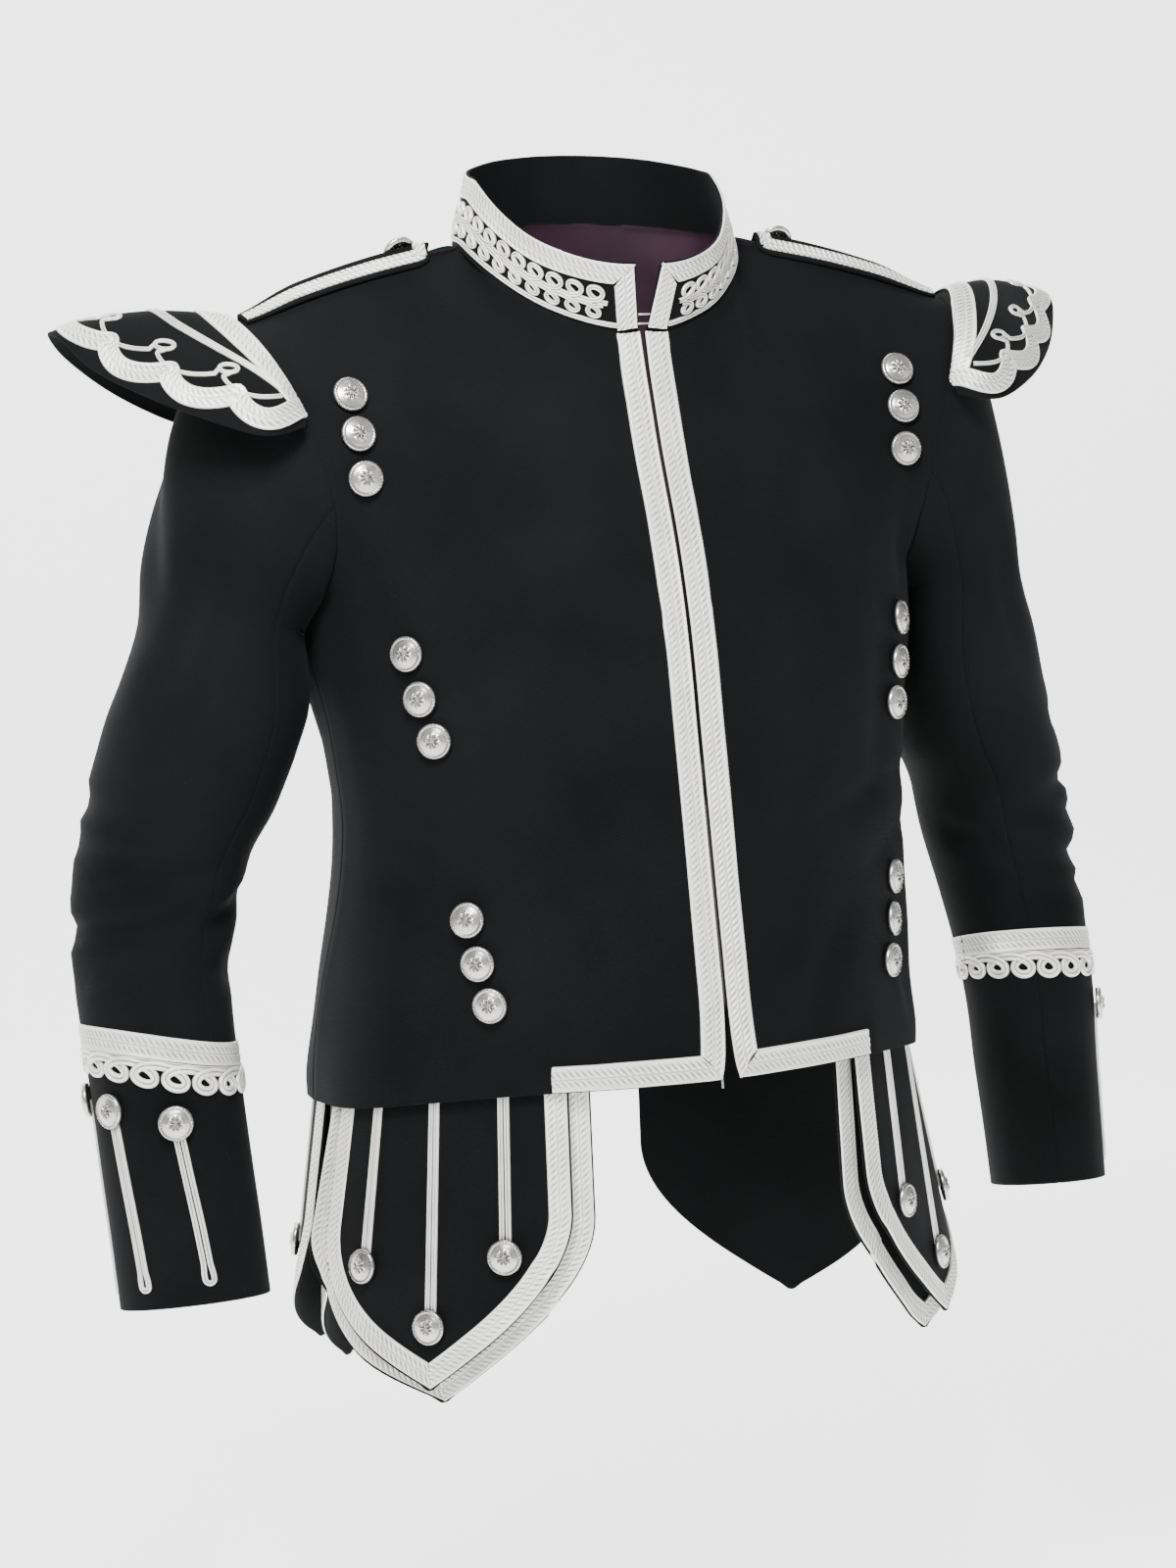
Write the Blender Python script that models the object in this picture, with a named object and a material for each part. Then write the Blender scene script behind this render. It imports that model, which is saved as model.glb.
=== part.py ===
"""Kilt doublet jacket, filled out as worn, with open neck, hem and cuffs.

Metres, +Z up, the front faces -Y, and the wearer's right is at -X.
The origin is the centre of the neck base, on the line of the shoulders.
Every cloth piece is a closed wall between its outer points and the same points moved in.
"""
import math

import bmesh
import bpy
import numpy as np
from mathutils import Vector
from mathutils.geometry import delaunay_2d_cdt

# ---- driving dimensions -------------------------------------------------------------
CLOTH = 0.0020            # wall of the wool pieces
SEAM_GAP = 0.0003         # space between neighbouring pieces
LIFT = 0.0007             # space between a panel and what is sewn on it
TRIM_LIFT = 0.0010        # the same under braid that crosses the panel's bends
BRAID = 0.0013            # thickness of the flat metal braid
BRAID_WIDTH = 0.0160      # width of the wide braid
BUTTON_RADIUS = 0.0115
BUTTON_HEIGHT = 0.0052

NECK_HALF_WIDTH = 0.098
NECK_FRONT = 0.075        # centre back of the neck base to the front neck point, along Y
NECK_BACK = 0.066
NECK_FRONT_DROP = 0.062   # the front neck point below the shoulder line
NECK_BACK_RISE = 0.016
HEM_FRONT = -0.544        # height of the hem at the centre front
HEM_SIDE = -0.568
HEM_BACK = -0.568
COLLAR_HEIGHT = 0.043

# Torso sections, one row each, from the hem up; side_y is where the side seam runs.
SECTION_COLUMNS = ("z", "half_width", "front_depth", "back_depth", "side_y", "roundness")
SECTIONS = (
    (-0.560, 0.214, 0.168, 0.171, 0.046, 2.05),
    (-0.500, 0.210, 0.163, 0.162, 0.036, 2.20),
    (-0.440, 0.202, 0.155, 0.144, 0.016, 2.35),
    (-0.380, 0.198, 0.147, 0.126, 0.002, 2.40),
    (-0.320, 0.204, 0.139, 0.126, 0.000, 2.45),
    (-0.260, 0.214, 0.131, 0.134, 0.000, 2.40),
    (-0.200, 0.223, 0.117, 0.133, 0.000, 2.10),
    (-0.140, 0.228, 0.096, 0.126, 0.000, 2.10),
    (-0.060, 0.232, 0.075, 0.096, 0.000, 2.10),
    (0.020, 0.232, 0.070, 0.066, 0.000, 2.10),
)

# Armhole seam, from the shoulder tip down the front and up the back.
ARMHOLE_COLUMNS = ("x", "y", "z")
ARMHOLE = (
    (0.259, 0.000, -0.045),
    (0.247, -0.040, -0.068),
    (0.230, -0.062, -0.110),
    (0.216, -0.066, -0.160),
    (0.211, -0.044, -0.208),
    (0.219, 0.002, -0.232),
    (0.214, 0.050, -0.206),
    (0.217, 0.072, -0.155),
    (0.238, 0.052, -0.088),
)
PIT_ROW = 5               # the row of ARMHOLE that is the underarm point

# Half of the gap between the two front edges, by height.
OPENING_COLUMNS = ("z", "half_gap")
OPENING = ((-0.544, 0.0062), (-0.530, 0.0030), (-0.500, 0.0012), (-0.100, 0.0012), (-0.062, 0.0016))

# Sleeve sections below the armhole: middle of the ring, its half sizes and its lean.
SLEEVE_COLUMNS = ("x", "y", "z", "half_side", "half_deep", "turn")
SLEEVE = (
    (0.2695, 0.026, -0.245, 0.0500, 0.0700, 0.0),
    (0.2745, 0.029, -0.290, 0.0595, 0.0680, 0.0),
    (0.2860, 0.036, -0.325, 0.0605, 0.0660, 2.0),
    (0.3020, 0.043, -0.360, 0.0550, 0.0640, 5.0),
    (0.3160, 0.047, -0.420, 0.0535, 0.0590, 10.0),
    (0.3230, 0.041, -0.470, 0.0490, 0.0545, 15.0),
    (0.3240, 0.021, -0.530, 0.0460, 0.0520, 20.0),
    (0.3220, 0.008, -0.600, 0.0430, 0.0515, 25.0),
    (0.3200, -0.008, -0.680, 0.0400, 0.0510, 30.0),
)
# How far each arm hangs from the table: the wearer's right arm (-X), then the left.
ARM_COLUMNS = ("side", "suffix", "cuff_turn", "braid_dip", "dip_place")
ARMS = ((-1, "r", 20.0, 0.015, 130.0), (1, "l", -20.0, 0.006, 70.0))

FLAP_LENGTH = 0.187
FLAP_UNDER_EXTRA = 0.014  # how far the under flap shows past the upper one at its sides
FLAP_UNDER_DROP = 0.012
STRAP_WIDTH = 0.040
STRAP_ENDS = (0.070, 0.960)   # along the shoulder seam, from the neck to the tip
STRAP_BACK = 0.006        # how far behind the shoulder seam its middle lies

BUTTON_COLUMNS = ("across", "z")
FRONT_BUTTONS = (
    (0.197, -0.095), (0.196, -0.120), (0.194, -0.148),
    (0.176, -0.261), (0.171, -0.290), (0.165, -0.317),
    (0.153, -0.433), (0.149, -0.461), (0.144, -0.488),
)

WOOL = (0.012, 0.013, 0.014)
SILVER = (0.62, 0.62, 0.60)


# ---- small helpers ------------------------------------------------------------------
def clear_scene():
    """Remove every object of the start file."""
    for obj in list(bpy.data.objects):
        bpy.data.objects.remove(obj, do_unlink=True)


def material(name, colour, roughness, metallic):
    """A plain surface of one colour."""
    mat = bpy.data.materials.new(name)
    mat.use_nodes = True
    shader = mat.node_tree.nodes["Principled BSDF"]
    shader.inputs["Base Color"].default_value = (*colour, 1.0)
    shader.inputs["Roughness"].default_value = roughness
    shader.inputs["Metallic"].default_value = metallic
    return mat


def unit(vectors):
    """Vectors of length one, along the last axis."""
    vectors = np.asarray(vectors, float)
    size = np.linalg.norm(vectors, axis=-1, keepdims=True)
    return vectors / np.maximum(size, 1e-12)


def smooth(t):
    """0 to 1 with level ends."""
    t = np.clip(t, 0.0, 1.0)
    return t * t * (3.0 - 2.0 * t)


def hermite(points, t, closed=False):
    """A smooth curve through points, read at t, where t counts the points."""
    points = np.asarray(points, float)
    count = len(points)
    if closed:
        i = int(math.floor(t)) % count
        f = t - math.floor(t)
        pick = lambda k: points[k % count]
    else:
        i = int(min(max(math.floor(t), 0), count - 2))
        f = t - i
        pick = lambda k: points[min(max(k, 0), count - 1)]
    p0, p1, p2, p3 = pick(i - 1), pick(i), pick(i + 1), pick(i + 2)
    m1 = (p2 - p0) / 2.0
    m2 = (p3 - p1) / 2.0
    f2, f3 = f * f, f * f * f
    return ((2 * f3 - 3 * f2 + 1) * p1 + (f3 - 2 * f2 + f) * m1
            + (3 * f2 - 2 * f3) * p2 + (f3 - f2) * m2)


def by_height(table, z):
    """The other columns of a table whose first column is a rising height, at height z."""
    heights = [row[0] for row in table]
    z = min(max(z, heights[0]), heights[-1])
    k = 0
    while k < len(heights) - 2 and z > heights[k + 1]:
        k += 1
    t = k + (z - heights[k]) / (heights[k + 1] - heights[k])
    return hermite([row[1:] for row in table], t)


def new_object(name, vertices, faces, mat, smooth_angle=40.0):
    """A closed mesh object with its faces pointing out."""
    mesh = bpy.data.meshes.new(name)
    mesh.from_pydata([tuple(v) for v in vertices], [], [tuple(f) for f in faces])
    work = bmesh.new()
    work.from_mesh(mesh)
    if work.calc_volume(signed=True) < 0.0:
        bmesh.ops.reverse_faces(work, faces=work.faces)
    work.to_mesh(mesh)
    work.free()
    mesh.materials.append(mat)
    mesh.shade_smooth()
    mesh.set_sharp_from_angle(angle=math.radians(smooth_angle))
    obj = bpy.data.objects.new(name, mesh)
    bpy.context.scene.collection.objects.link(obj)
    return obj


def wall(name, outer, inner, mat, wrap=False):
    """A closed wall between two grids of the same shape; wrap joins the last column to the first."""
    rows, cols = outer.shape[:2]
    count = rows * cols
    vertices = list(outer.reshape(-1, 3)) + list(inner.reshape(-1, 3))
    faces = []
    last = cols if wrap else cols - 1
    for r in range(rows - 1):
        for c in range(last):
            d = (c + 1) % cols
            quad = (r * cols + c, r * cols + d, (r + 1) * cols + d, (r + 1) * cols + c)
            for face in ((quad[0], quad[1], quad[2]), (quad[0], quad[2], quad[3])):
                faces.append(face)
                faces.append(tuple(count + k for k in reversed(face)))
    for c in range(last):
        d = (c + 1) % cols
        top = (c, d)
        low = ((rows - 1) * cols + d, (rows - 1) * cols + c)
        for a, b in (top, low):
            faces.append((b, a, count + a, count + b))
    if not wrap:
        for r in range(rows - 1):
            left = ((r + 1) * cols, r * cols)
            right = (r * cols + cols - 1, (r + 1) * cols + cols - 1)
            for a, b in (left, right):
                faces.append((b, a, count + a, count + b))
    return new_object(name, vertices, faces, mat)


def turned(name, profile, place, axis, mat, sides=10):
    """A solid turned from (radius, height) points, the first and the last on the axis."""
    axis = unit(axis)
    helper = np.array((0.0, 0.0, 1.0)) if abs(axis[2]) < 0.9 else np.array((1.0, 0.0, 0.0))
    u = unit(np.cross(helper, axis))
    v = np.cross(axis, u)
    place = np.asarray(place, float)
    vertices = [place + axis * profile[0][1]]
    for radius, height in profile[1:-1]:
        for k in range(sides):
            angle = 2.0 * math.pi * k / sides
            vertices.append(place + radius * (math.cos(angle) * u + math.sin(angle) * v) + axis * height)
    vertices.append(place + axis * profile[-1][1])
    rings = len(profile) - 2
    faces = []
    for k in range(sides):
        n = (k + 1) % sides
        faces.append((0, 1 + k, 1 + n))
        for r in range(rings - 1):
            a = 1 + r * sides
            faces.append((a + k, a + sides + k, a + sides + n, a + n))
        a = 1 + (rings - 1) * sides
        faces.append((a + n, a + k, len(vertices) - 1))
    return new_object(name, vertices, faces, mat)


def button(name, place, axis, mat):
    """A domed metal button with a rim, its flat back at the place."""
    r, h = BUTTON_RADIUS, BUTTON_HEIGHT
    profile = ((0.0, 0.0), (r * 0.86, 0.0), (r, h * 0.42), (r * 0.62, h * 0.86), (0.0, h))
    return turned(name, profile, place, axis, mat)


class Sheet:
    """A panel's outer face: a grid of points and of outward normals, read anywhere by row and column."""

    def __init__(self, points, normals):
        self.points = points
        self.normals = normals

    def at(self, row, col):
        rows, cols = self.points.shape[:2]
        row = min(max(row, 0.0), rows - 1.0)
        col = min(max(col, 0.0), cols - 1.0)
        r = min(int(row), rows - 2)
        c = min(int(col), cols - 2)
        f, g = row - r, col - c
        if f <= g:
            corners = ((r, c, 1.0 - g), (r, c + 1, g - f), (r + 1, c + 1, f))
        else:
            corners = ((r, c, 1.0 - f), (r + 1, c, f - g), (r + 1, c + 1, g))
        point = sum(self.points[i, j] * share for i, j, share in corners)
        normal = sum(self.normals[i, j] * share for i, j, share in corners)
        return point, unit(normal)

    def mirrored(self, side):
        return Sheet(mirror(self.points, side), mirror(self.normals, side))


def mirror(points, side):
    """The same points on the wearer's left (side 1) or right (side -1)."""
    return points * np.array((side, 1.0, 1.0))


def cloth_wall(name, sheet, mat):
    """The sheet as a closed wall one cloth thick."""
    return wall(name, sheet.points, sheet.points - sheet.normals * CLOTH, mat)


def inside(point, loops):
    """Whether a flat point is inside an odd number of loops."""
    x, y = point
    odd = False
    for loop in loops:
        for (x0, y0), (x1, y1) in zip(loop, loop[1:] + loop[:1]):
            if (y0 > y) != (y1 > y) and x < x0 + (y - y0) * (x1 - x0) / (y1 - y0):
                odd = not odd
    return odd


def trim(name, loops, domes, lines, place, mat, low=TRIM_LIFT, high=TRIM_LIFT + BRAID):
    """Flat braid cut to closed loops and laid on a panel, with metal domes standing on it.

    loops: lists of flat (a, b) points, the first around the others; domes: flat (a, b, radius);
    lines: flat lines along which the panel bends; place: the panel's point and normal for (a, b).
    """
    sides = 8
    borders = [list(loop) for loop in loops]
    for a, b, radius in domes:
        angles = [2.0 * math.pi * k / sides for k in range(sides)]
        borders.append([(a + radius * math.cos(t), b + radius * math.sin(t)) for t in angles])
    flat = []
    edges = []
    for loop in borders:
        start = len(flat)
        flat += loop
        edges += [(start + k, start + (k + 1) % len(loop)) for k in range(len(loop))]
    for line in lines:
        start = len(flat)
        flat += line
        edges += [(start + k, start + k + 1) for k in range(len(line) - 1)]
    cut = delaunay_2d_cdt([Vector(p) for p in flat], edges, [], 0, 1e-7)
    flat = [tuple(p) for p in cut[0]]
    count = len(flat)
    laid = [place(a, b) for a, b in flat]
    vertices = [p + n * high for p, n in laid] + [p + n * low for p, n in laid]
    solid = []
    used = set()
    for face in cut[2]:
        face = list(face)
        middle = [sum(flat[k][i] for k in face) / len(face) for i in (0, 1)]
        if not inside(middle, borders[:len(loops)]):
            continue
        solid.append(tuple(count + k for k in reversed(face)))
        if not inside(middle, borders[len(loops):]):
            solid.append(tuple(face))
            used.update(zip(face, face[1:] + face[:1]))
    rim = sorted(edge for edge in used if (edge[1], edge[0]) not in used)
    for a, b, radius in domes:
        centre, normal = place(a, b)
        top = centre + normal * high
        ring = [e for e in rim if max(math.dist(flat[k], (a, b)) for k in e) < radius * 1.001]
        rim = [e for e in rim if e not in ring]
        apex = len(vertices)
        vertices.append(top + normal * BUTTON_HEIGHT)
        levels = {}
        for k in sorted({k for e in ring for k in e}):
            levels[k] = len(vertices)
            for scale, height in ((1.06, 0.40), (0.62, 0.86)):
                vertices.append(top + (vertices[k] - top) * scale + normal * BUTTON_HEIGHT * height)
        for m, n in ring:
            solid.append((n, m, levels[m], levels[n]))
            solid.append((levels[n], levels[m], levels[m] + 1, levels[n] + 1))
            solid.append((levels[n] + 1, levels[m] + 1, apex))
    for a, b in rim:
        solid.append((b, a, count + a, count + b))
    return closed_object(name, vertices, solid, mat)


def grid_lines(rows, cols):
    """Flat lines along which a panel bends, for (column, row) places."""
    lines = [[(float(c), 0.0), (float(c), float(rows))] for c in range(cols + 1)]
    lines += [[(0.0, float(r)), (float(cols), float(r))] for r in range(rows + 1)]
    return lines


def closed_object(name, vertices, faces, mat):
    """A mesh object with loose points removed and all faces turned the same way."""
    used = sorted({k for face in faces for k in face})
    index = {k: n for n, k in enumerate(used)}
    vertices = [vertices[k] for k in used]
    faces = [tuple(index[k] for k in face) for face in faces]
    return new_object(name, vertices, faces, mat)


def patch(name, sheet, cells, mat, low=LIFT, high=LIFT + BRAID):
    """Flat braid over whole cells of a panel's grid."""
    cols = sheet.points.shape[1]
    points = sheet.points.reshape(-1, 3)
    normals = sheet.normals.reshape(-1, 3)
    count = len(points)
    vertices = list(points + normals * high) + list(points + normals * low)
    faces = []
    used = set()
    for r, c in cells:
        quad = (r * cols + c, r * cols + c + 1, (r + 1) * cols + c + 1, (r + 1) * cols + c)
        faces.append(quad)
        faces.append(tuple(count + k for k in reversed(quad)))
        used.update(zip(quad, quad[1:] + quad[:1]))
    for a, b in sorted(used):
        if (b, a) not in used:
            faces.append((b, a, count + a, count + b))
    return closed_object(name, vertices, faces, mat)


# ---- torso --------------------------------------------------------------------------
def armhole(t):
    """A point of the armhole seam at x > 0; t counts the rows of ARMHOLE, from the shoulder tip."""
    return hermite(ARMHOLE, t, closed=True)


def section(z):
    return by_height(SECTIONS, z)


def half_gap(z):
    return float(by_height(OPENING, z)[0])


def neckline(angle):
    """Neck seam point; angle 0 is the centre front and 180 degrees the centre back."""
    s, c = math.sin(angle), math.cos(angle)
    if c >= 0.0:
        return np.array((NECK_HALF_WIDTH * s, -NECK_FRONT * c, -NECK_FRONT_DROP * abs(c) ** 1.3))
    return np.array((NECK_HALF_WIDTH * s, -NECK_BACK * c, NECK_BACK_RISE * abs(c) ** 1.3))


NECK_SHARE = 0.385        # share of a panel's width that ends at the neck


def top_edge(s, front):
    """Upper edge of a half panel, from the centre (s = 0) round the neck to the shoulder tip."""
    if s < NECK_SHARE:
        quarter = 0.5 * math.pi * s / NECK_SHARE
        return neckline(quarter if front else math.pi - quarter)
    f = (s - NECK_SHARE) / (1.0 - NECK_SHARE)
    side = neckline(0.5 * math.pi)
    tip = armhole(0.0)
    point = side + (tip - side) * f
    point[2] += 0.005 * math.sin(math.pi * f)
    return point


PIT_SHARE = 0.40          # share of a panel's rows that end at the armhole
ARM_ARC = 58.0            # degrees of a quarter turn that a row covers beside the armhole
FADE = 0.42               # share of the rows over which the top edge's shape fades out


def centre_z(v, front):
    top = -NECK_FRONT_DROP if front else NECK_BACK_RISE
    low = HEM_FRONT if front else HEM_BACK
    return top + (low - top) * v


def side_edge(v, front):
    """Outer edge of a half panel: down the armhole, then down the side seam."""
    if v <= PIT_SHARE:
        f = v / PIT_SHARE
        count = len(ARMHOLE)
        return armhole(PIT_ROW * f if front else count - (count - PIT_ROW) * f)
    pit = armhole(float(PIT_ROW))
    z = pit[2] + (HEM_SIDE - pit[2]) * (v - PIT_SHARE) / (1.0 - PIT_SHARE)
    row = section(z)
    blend = smooth((pit[2] - z) / 0.06)
    return np.array((pit[0] * (1 - blend) + row[0] * blend, pit[1] * (1 - blend) + row[3] * blend, z))


def row_point(s, v, front):
    """A point on the curved row that runs from the centre to the outer edge."""
    zc = centre_z(v, front)
    width, ahead, behind, side_y, roundness = section(zc)
    edge = side_edge(v, front)
    depth = -ahead if front else behind
    reach = math.radians(ARM_ARC + (90.0 - ARM_ARC) * smooth((v - 0.5 * PIT_SHARE) / (0.6 * PIT_SHARE)))
    angle = reach * s
    across = (math.sin(angle) / math.sin(reach)) ** (2.0 / roundness)
    end = math.cos(reach)
    along = max((math.cos(angle) - end) / (1.0 - end), 0.0) ** (2.0 / roundness)
    x = edge[0] * across
    y = edge[1] + (depth - edge[1]) * along
    z = zc + (edge[2] - zc) * across ** (1.5 + 3.0 * v ** 4)
    return np.array((x, y, z))


def torso_point(s, v, front):
    """A point of the outer face of a half panel at x >= 0."""
    point = row_point(s, v, front)
    if v < FADE:
        point = point + (top_edge(s, front) - row_point(s, 0.0, front)) * (1.0 - smooth(v / FADE))
    if front:
        gap = half_gap(point[2])
        point[0] = point[0] + gap * (1.0 - s)
    return point


PANEL_ROWS = 18           # the last row of the front is the hem braid
NECK_COLS = 4             # the first column of the front is the edge braid
SHOULDER_COLS = 5
PIT_ROWS = 8              # rows of the panel that end at the armhole, half the ring of a sleeve
HEM_SPREAD = 0.29         # how much further out the columns run at the hem; one ends its braid


def row_values():
    """Places of a panel's rows, 0 at the neck and shoulder and 1 at the hem."""
    last = 1.0 - BRAID_WIDTH / (-NECK_FRONT_DROP - HEM_FRONT)
    upper = [PIT_SHARE * r / PIT_ROWS for r in range(PIT_ROWS)]
    rest = PANEL_ROWS - 1 - PIT_ROWS
    lower = [PIT_SHARE + (last - PIT_SHARE) * r / rest for r in range(rest + 1)]
    return upper + lower + [1.0]


def column_values(front, v):
    """Places of a panel's columns, 0 at the centre and 1 at the outer edge."""
    shoulder = [NECK_SHARE + (1.0 - NECK_SHARE) * k / SHOULDER_COLS for k in range(SHOULDER_COLS + 1)]
    if not front:
        return [NECK_SHARE * k / NECK_COLS for k in range(NECK_COLS)] + shoulder
    centre = torso_point(0.0, v, True)
    edge = 0.01
    for _ in range(6):
        edge *= BRAID_WIDTH / float(np.linalg.norm(torso_point(edge, v, True) - centre))
    rest = NECK_COLS - 1
    spread = 1.0 + HEM_SPREAD * smooth((v - PIT_SHARE) / (1.0 - PIT_SHARE))
    return [0.0] + [edge + (NECK_SHARE - edge) * spread * k / rest for k in range(rest)] + shoulder


def relaxed(points, rounds, keep):
    """The grid with its inner points drawn to the middle of their neighbours."""
    points = points.copy()
    for _ in range(rounds):
        middle = 0.25 * (points[:-2, 1:-1] + points[2:, 1:-1] + points[1:-1, :-2] + points[1:-1, 2:])
        share = np.full(middle.shape, 0.5)
        for k in keep:
            share[:, k - 1] = 0.0
        share[-1:] = 0.0
        points[1:-1, 1:-1] += (middle - points[1:-1, 1:-1]) * share
    return points


def surface_normals(points, front):
    """Outward normals of a half panel's grid."""
    across = np.gradient(points, axis=1)
    down = np.gradient(points, axis=0)
    normals = np.cross(down, across) if front else np.cross(across, down)
    return unit(normals)


def torso_sheet(front):
    """A half panel at x >= 0, drawn in by half a seam at its outer edges."""
    rows = row_values()
    points = np.array([[torso_point(s, v, front) for s in column_values(front, v)] for v in rows])
    points = relaxed(points, 3, (1,) if front else ())
    normals = surface_normals(points, front)
    if not front:
        normals[:, 0] = unit(normals[:, 0] * np.array((0.0, 1.0, 1.0)))
    for r, v in enumerate(rows):
        if v >= PIT_SHARE:
            side = surface_edge(points[:, -1], r)
            normals[r, -1] = unit(np.cross(side, (0.0, 1.0, 0.0)))
    for c in range(NECK_COLS, NECK_COLS + SHOULDER_COLS + 1):
        side = surface_edge(points[0], c)
        normals[0, c] = unit(np.array((-side[2], 0.0, side[0])))
    inward = unit(points[:, -2] - points[:, -1])
    points[:, -1] += inward * 0.5 * SEAM_GAP
    points[0] += unit(points[1] - points[0]) * 0.5 * SEAM_GAP
    return Sheet(points, normals)


def surface_edge(line, k):
    """Direction of a line of points at its point k."""
    return line[min(k + 1, len(line) - 1)] - line[max(k - 1, 0)]


FRONT = torso_sheet(True)
BACK = torso_sheet(False)


def make_torso(mat):
    for side, suffix in ((-1, "r"), (1, "l")):
        cloth_wall("front_" + suffix, FRONT.mirrored(side), mat)
    whole = BACK.mirrored(-1)
    points = np.concatenate((whole.points[:, :0:-1], BACK.points), axis=1)
    normals = np.concatenate((whole.normals[:, :0:-1], BACK.normals), axis=1)
    cloth_wall("back", Sheet(points, normals), mat)


def make_front_braid(silver):
    """Braid down the front edge, round the corner and along the hem, over whole cells of the panel."""
    cells = [(r, 0) for r in range(PANEL_ROWS)]
    cells += [(PANEL_ROWS - 1, c) for c in range(1, NECK_COLS - 1)]
    for side, suffix in ((-1, "r"), (1, "l")):
        patch("front_braid_" + suffix, FRONT.mirrored(side), cells, silver)


# ---- collar -------------------------------------------------------------------------
COLLAR_GAP_TOP = 0.0090   # half of the opening between the collar's upper corners
COLLAR_LEAN_FRONT = 0.014
COLLAR_LEAN_SIDE = -0.012
COLLAR_LEAN_BACK = -0.004
COLLAR_LOOPS = 22         # loops of the braid along the collar
COLLAR_COLS = 2 * COLLAR_LOOPS
COLLAR_ENDS = 2           # columns at each end covered by the upright braid


def collar_point(along, up):
    """A point of the collar's outer face; along -1..1 from the right front end to the left one."""
    first = 0.035
    angle = math.pi - (math.pi - first) * abs(along)
    side = 1.0 if along >= 0.0 else -1.0
    base = neckline(angle)
    c = math.cos(angle)
    lean = COLLAR_LEAN_SIDE + (COLLAR_LEAN_FRONT - COLLAR_LEAN_SIDE) * max(c, 0.0) ** 2
    lean += (COLLAR_LEAN_BACK - COLLAR_LEAN_SIDE) * max(-c, 0.0) ** 2
    outward = unit(np.array((base[0], base[1], 0.0)))
    point = base + outward * lean * up
    point[2] += 0.0012 + COLLAR_HEIGHT * up
    point[0] += (COLLAR_GAP_TOP - 0.004) * up * max(c, 0.0) ** 8
    point[0] *= side
    return point


def collar_sheet():
    levels = (1.0, 0.5, 0.0)
    alongs = [-1.0 + 2.0 * k / COLLAR_COLS for k in range(COLLAR_COLS + 1)]
    points = np.array([[collar_point(a, up) for a in alongs] for up in levels])
    across = np.gradient(points, axis=1)
    rise = points[:1] - points[-1:]
    normals = unit(np.cross(np.repeat(rise, len(levels), axis=0), across))
    return Sheet(points, normals)


def make_collar(mat, silver):
    sheet = collar_sheet()
    cloth_wall("collar", sheet, mat)

    def place(a, b):
        return sheet.at((1.0 - b) * 2.0, a)

    last = COLLAR_COLS
    # Wide braid along the top with the upper row of loops hanging from it, and down both ends.
    low = []
    for k in range(COLLAR_ENDS, last - COLLAR_ENDS + 1):
        low.append((float(k), 0.57 if k % 2 else 0.40))
    top = [(k + 0.0, 0.985) for k in range(last, -1, -1)]
    loop = [(0.0, 0.02), (1.0, 0.02), (COLLAR_ENDS, 0.02)] + low
    loop += [(last - COLLAR_ENDS, 0.02), (last - 1.0, 0.02), (last, 0.02)] + top
    lines = [[(float(k), -0.2), (float(k), 1.2)] for k in range(COLLAR_COLS + 1)]
    lines.append([(-1.0, 0.5), (COLLAR_COLS + 1.0, 0.5)])
    trim("collar_braid", [loop], (), lines, place, silver)
    # Cord along the seam with the lower row of loops standing on it.
    first = COLLAR_ENDS + 0.2
    alongs = [first] + [float(k) for k in range(COLLAR_ENDS + 1, last - COLLAR_ENDS)] + [last - first]
    high = [(a, 0.34 if int(a) % 2 else 0.17) for a in alongs]
    loop = [(a, 0.02) for a in alongs] + high[::-1]
    trim("collar_cord", [loop], (), lines, place, silver)


# ---- sleeves ------------------------------------------------------------------------
SLEEVE_AROUND = 16        # points round the sleeve
UNDER_POINTS = 6          # cells of the ring that belong to the under sleeve
SLEEVE_ROWS = 16
HEAD_ROWS = 6             # rows between the armhole and the first section


def ring_point(row, psi, turn_extra):
    """A point of a sleeve ring; psi 0 is the outer side, 90 degrees the front."""
    x, y, z, half_side, half_deep, turn = row
    path = sleeve_slope(z)
    out = unit(np.array((1.0, 0.0, path[0])))
    ahead = unit(np.array((0.0, -1.0, -path[1])))
    spin = math.radians(turn * (1.0 + turn_extra / 30.0))
    u = out * math.cos(spin) + ahead * math.sin(spin)
    w = ahead * math.cos(spin) - out * math.sin(spin)
    phase = psi - spin
    return np.array((x, y, z)) + u * half_side * math.cos(phase) + w * half_deep * math.sin(phase)


def sleeve_row(z):
    """Columns of the sleeve table at height z."""
    rising = [(row[2], row[0], row[1], *row[3:]) for row in reversed(SLEEVE)]
    x, y, half_side, half_deep, turn = by_height(rising, z)
    return (x, y, z, half_side, half_deep, turn)


def sleeve_slope(z):
    """How far the arm's middle moves along X and Y for each unit of height."""
    high = sleeve_row(min(z + 0.03, SLEEVE[0][2]))
    low = sleeve_row(max(z - 0.03, SLEEVE[-1][2]))
    rise = high[2] - low[2]
    return (low[0] - high[0]) / rise, (low[1] - high[1]) / rise


def armhole_ring(psi):
    """The armhole seam as a ring: psi 0 is the shoulder tip, 90 degrees the front."""
    turn = (psi / (2.0 * math.pi)) % 1.0
    count = len(ARMHOLE)
    if turn <= 0.5:
        return armhole(PIT_ROW * turn * 2.0)
    return armhole(PIT_ROW + (count - PIT_ROW) * (turn - 0.5) * 2.0)


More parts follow.
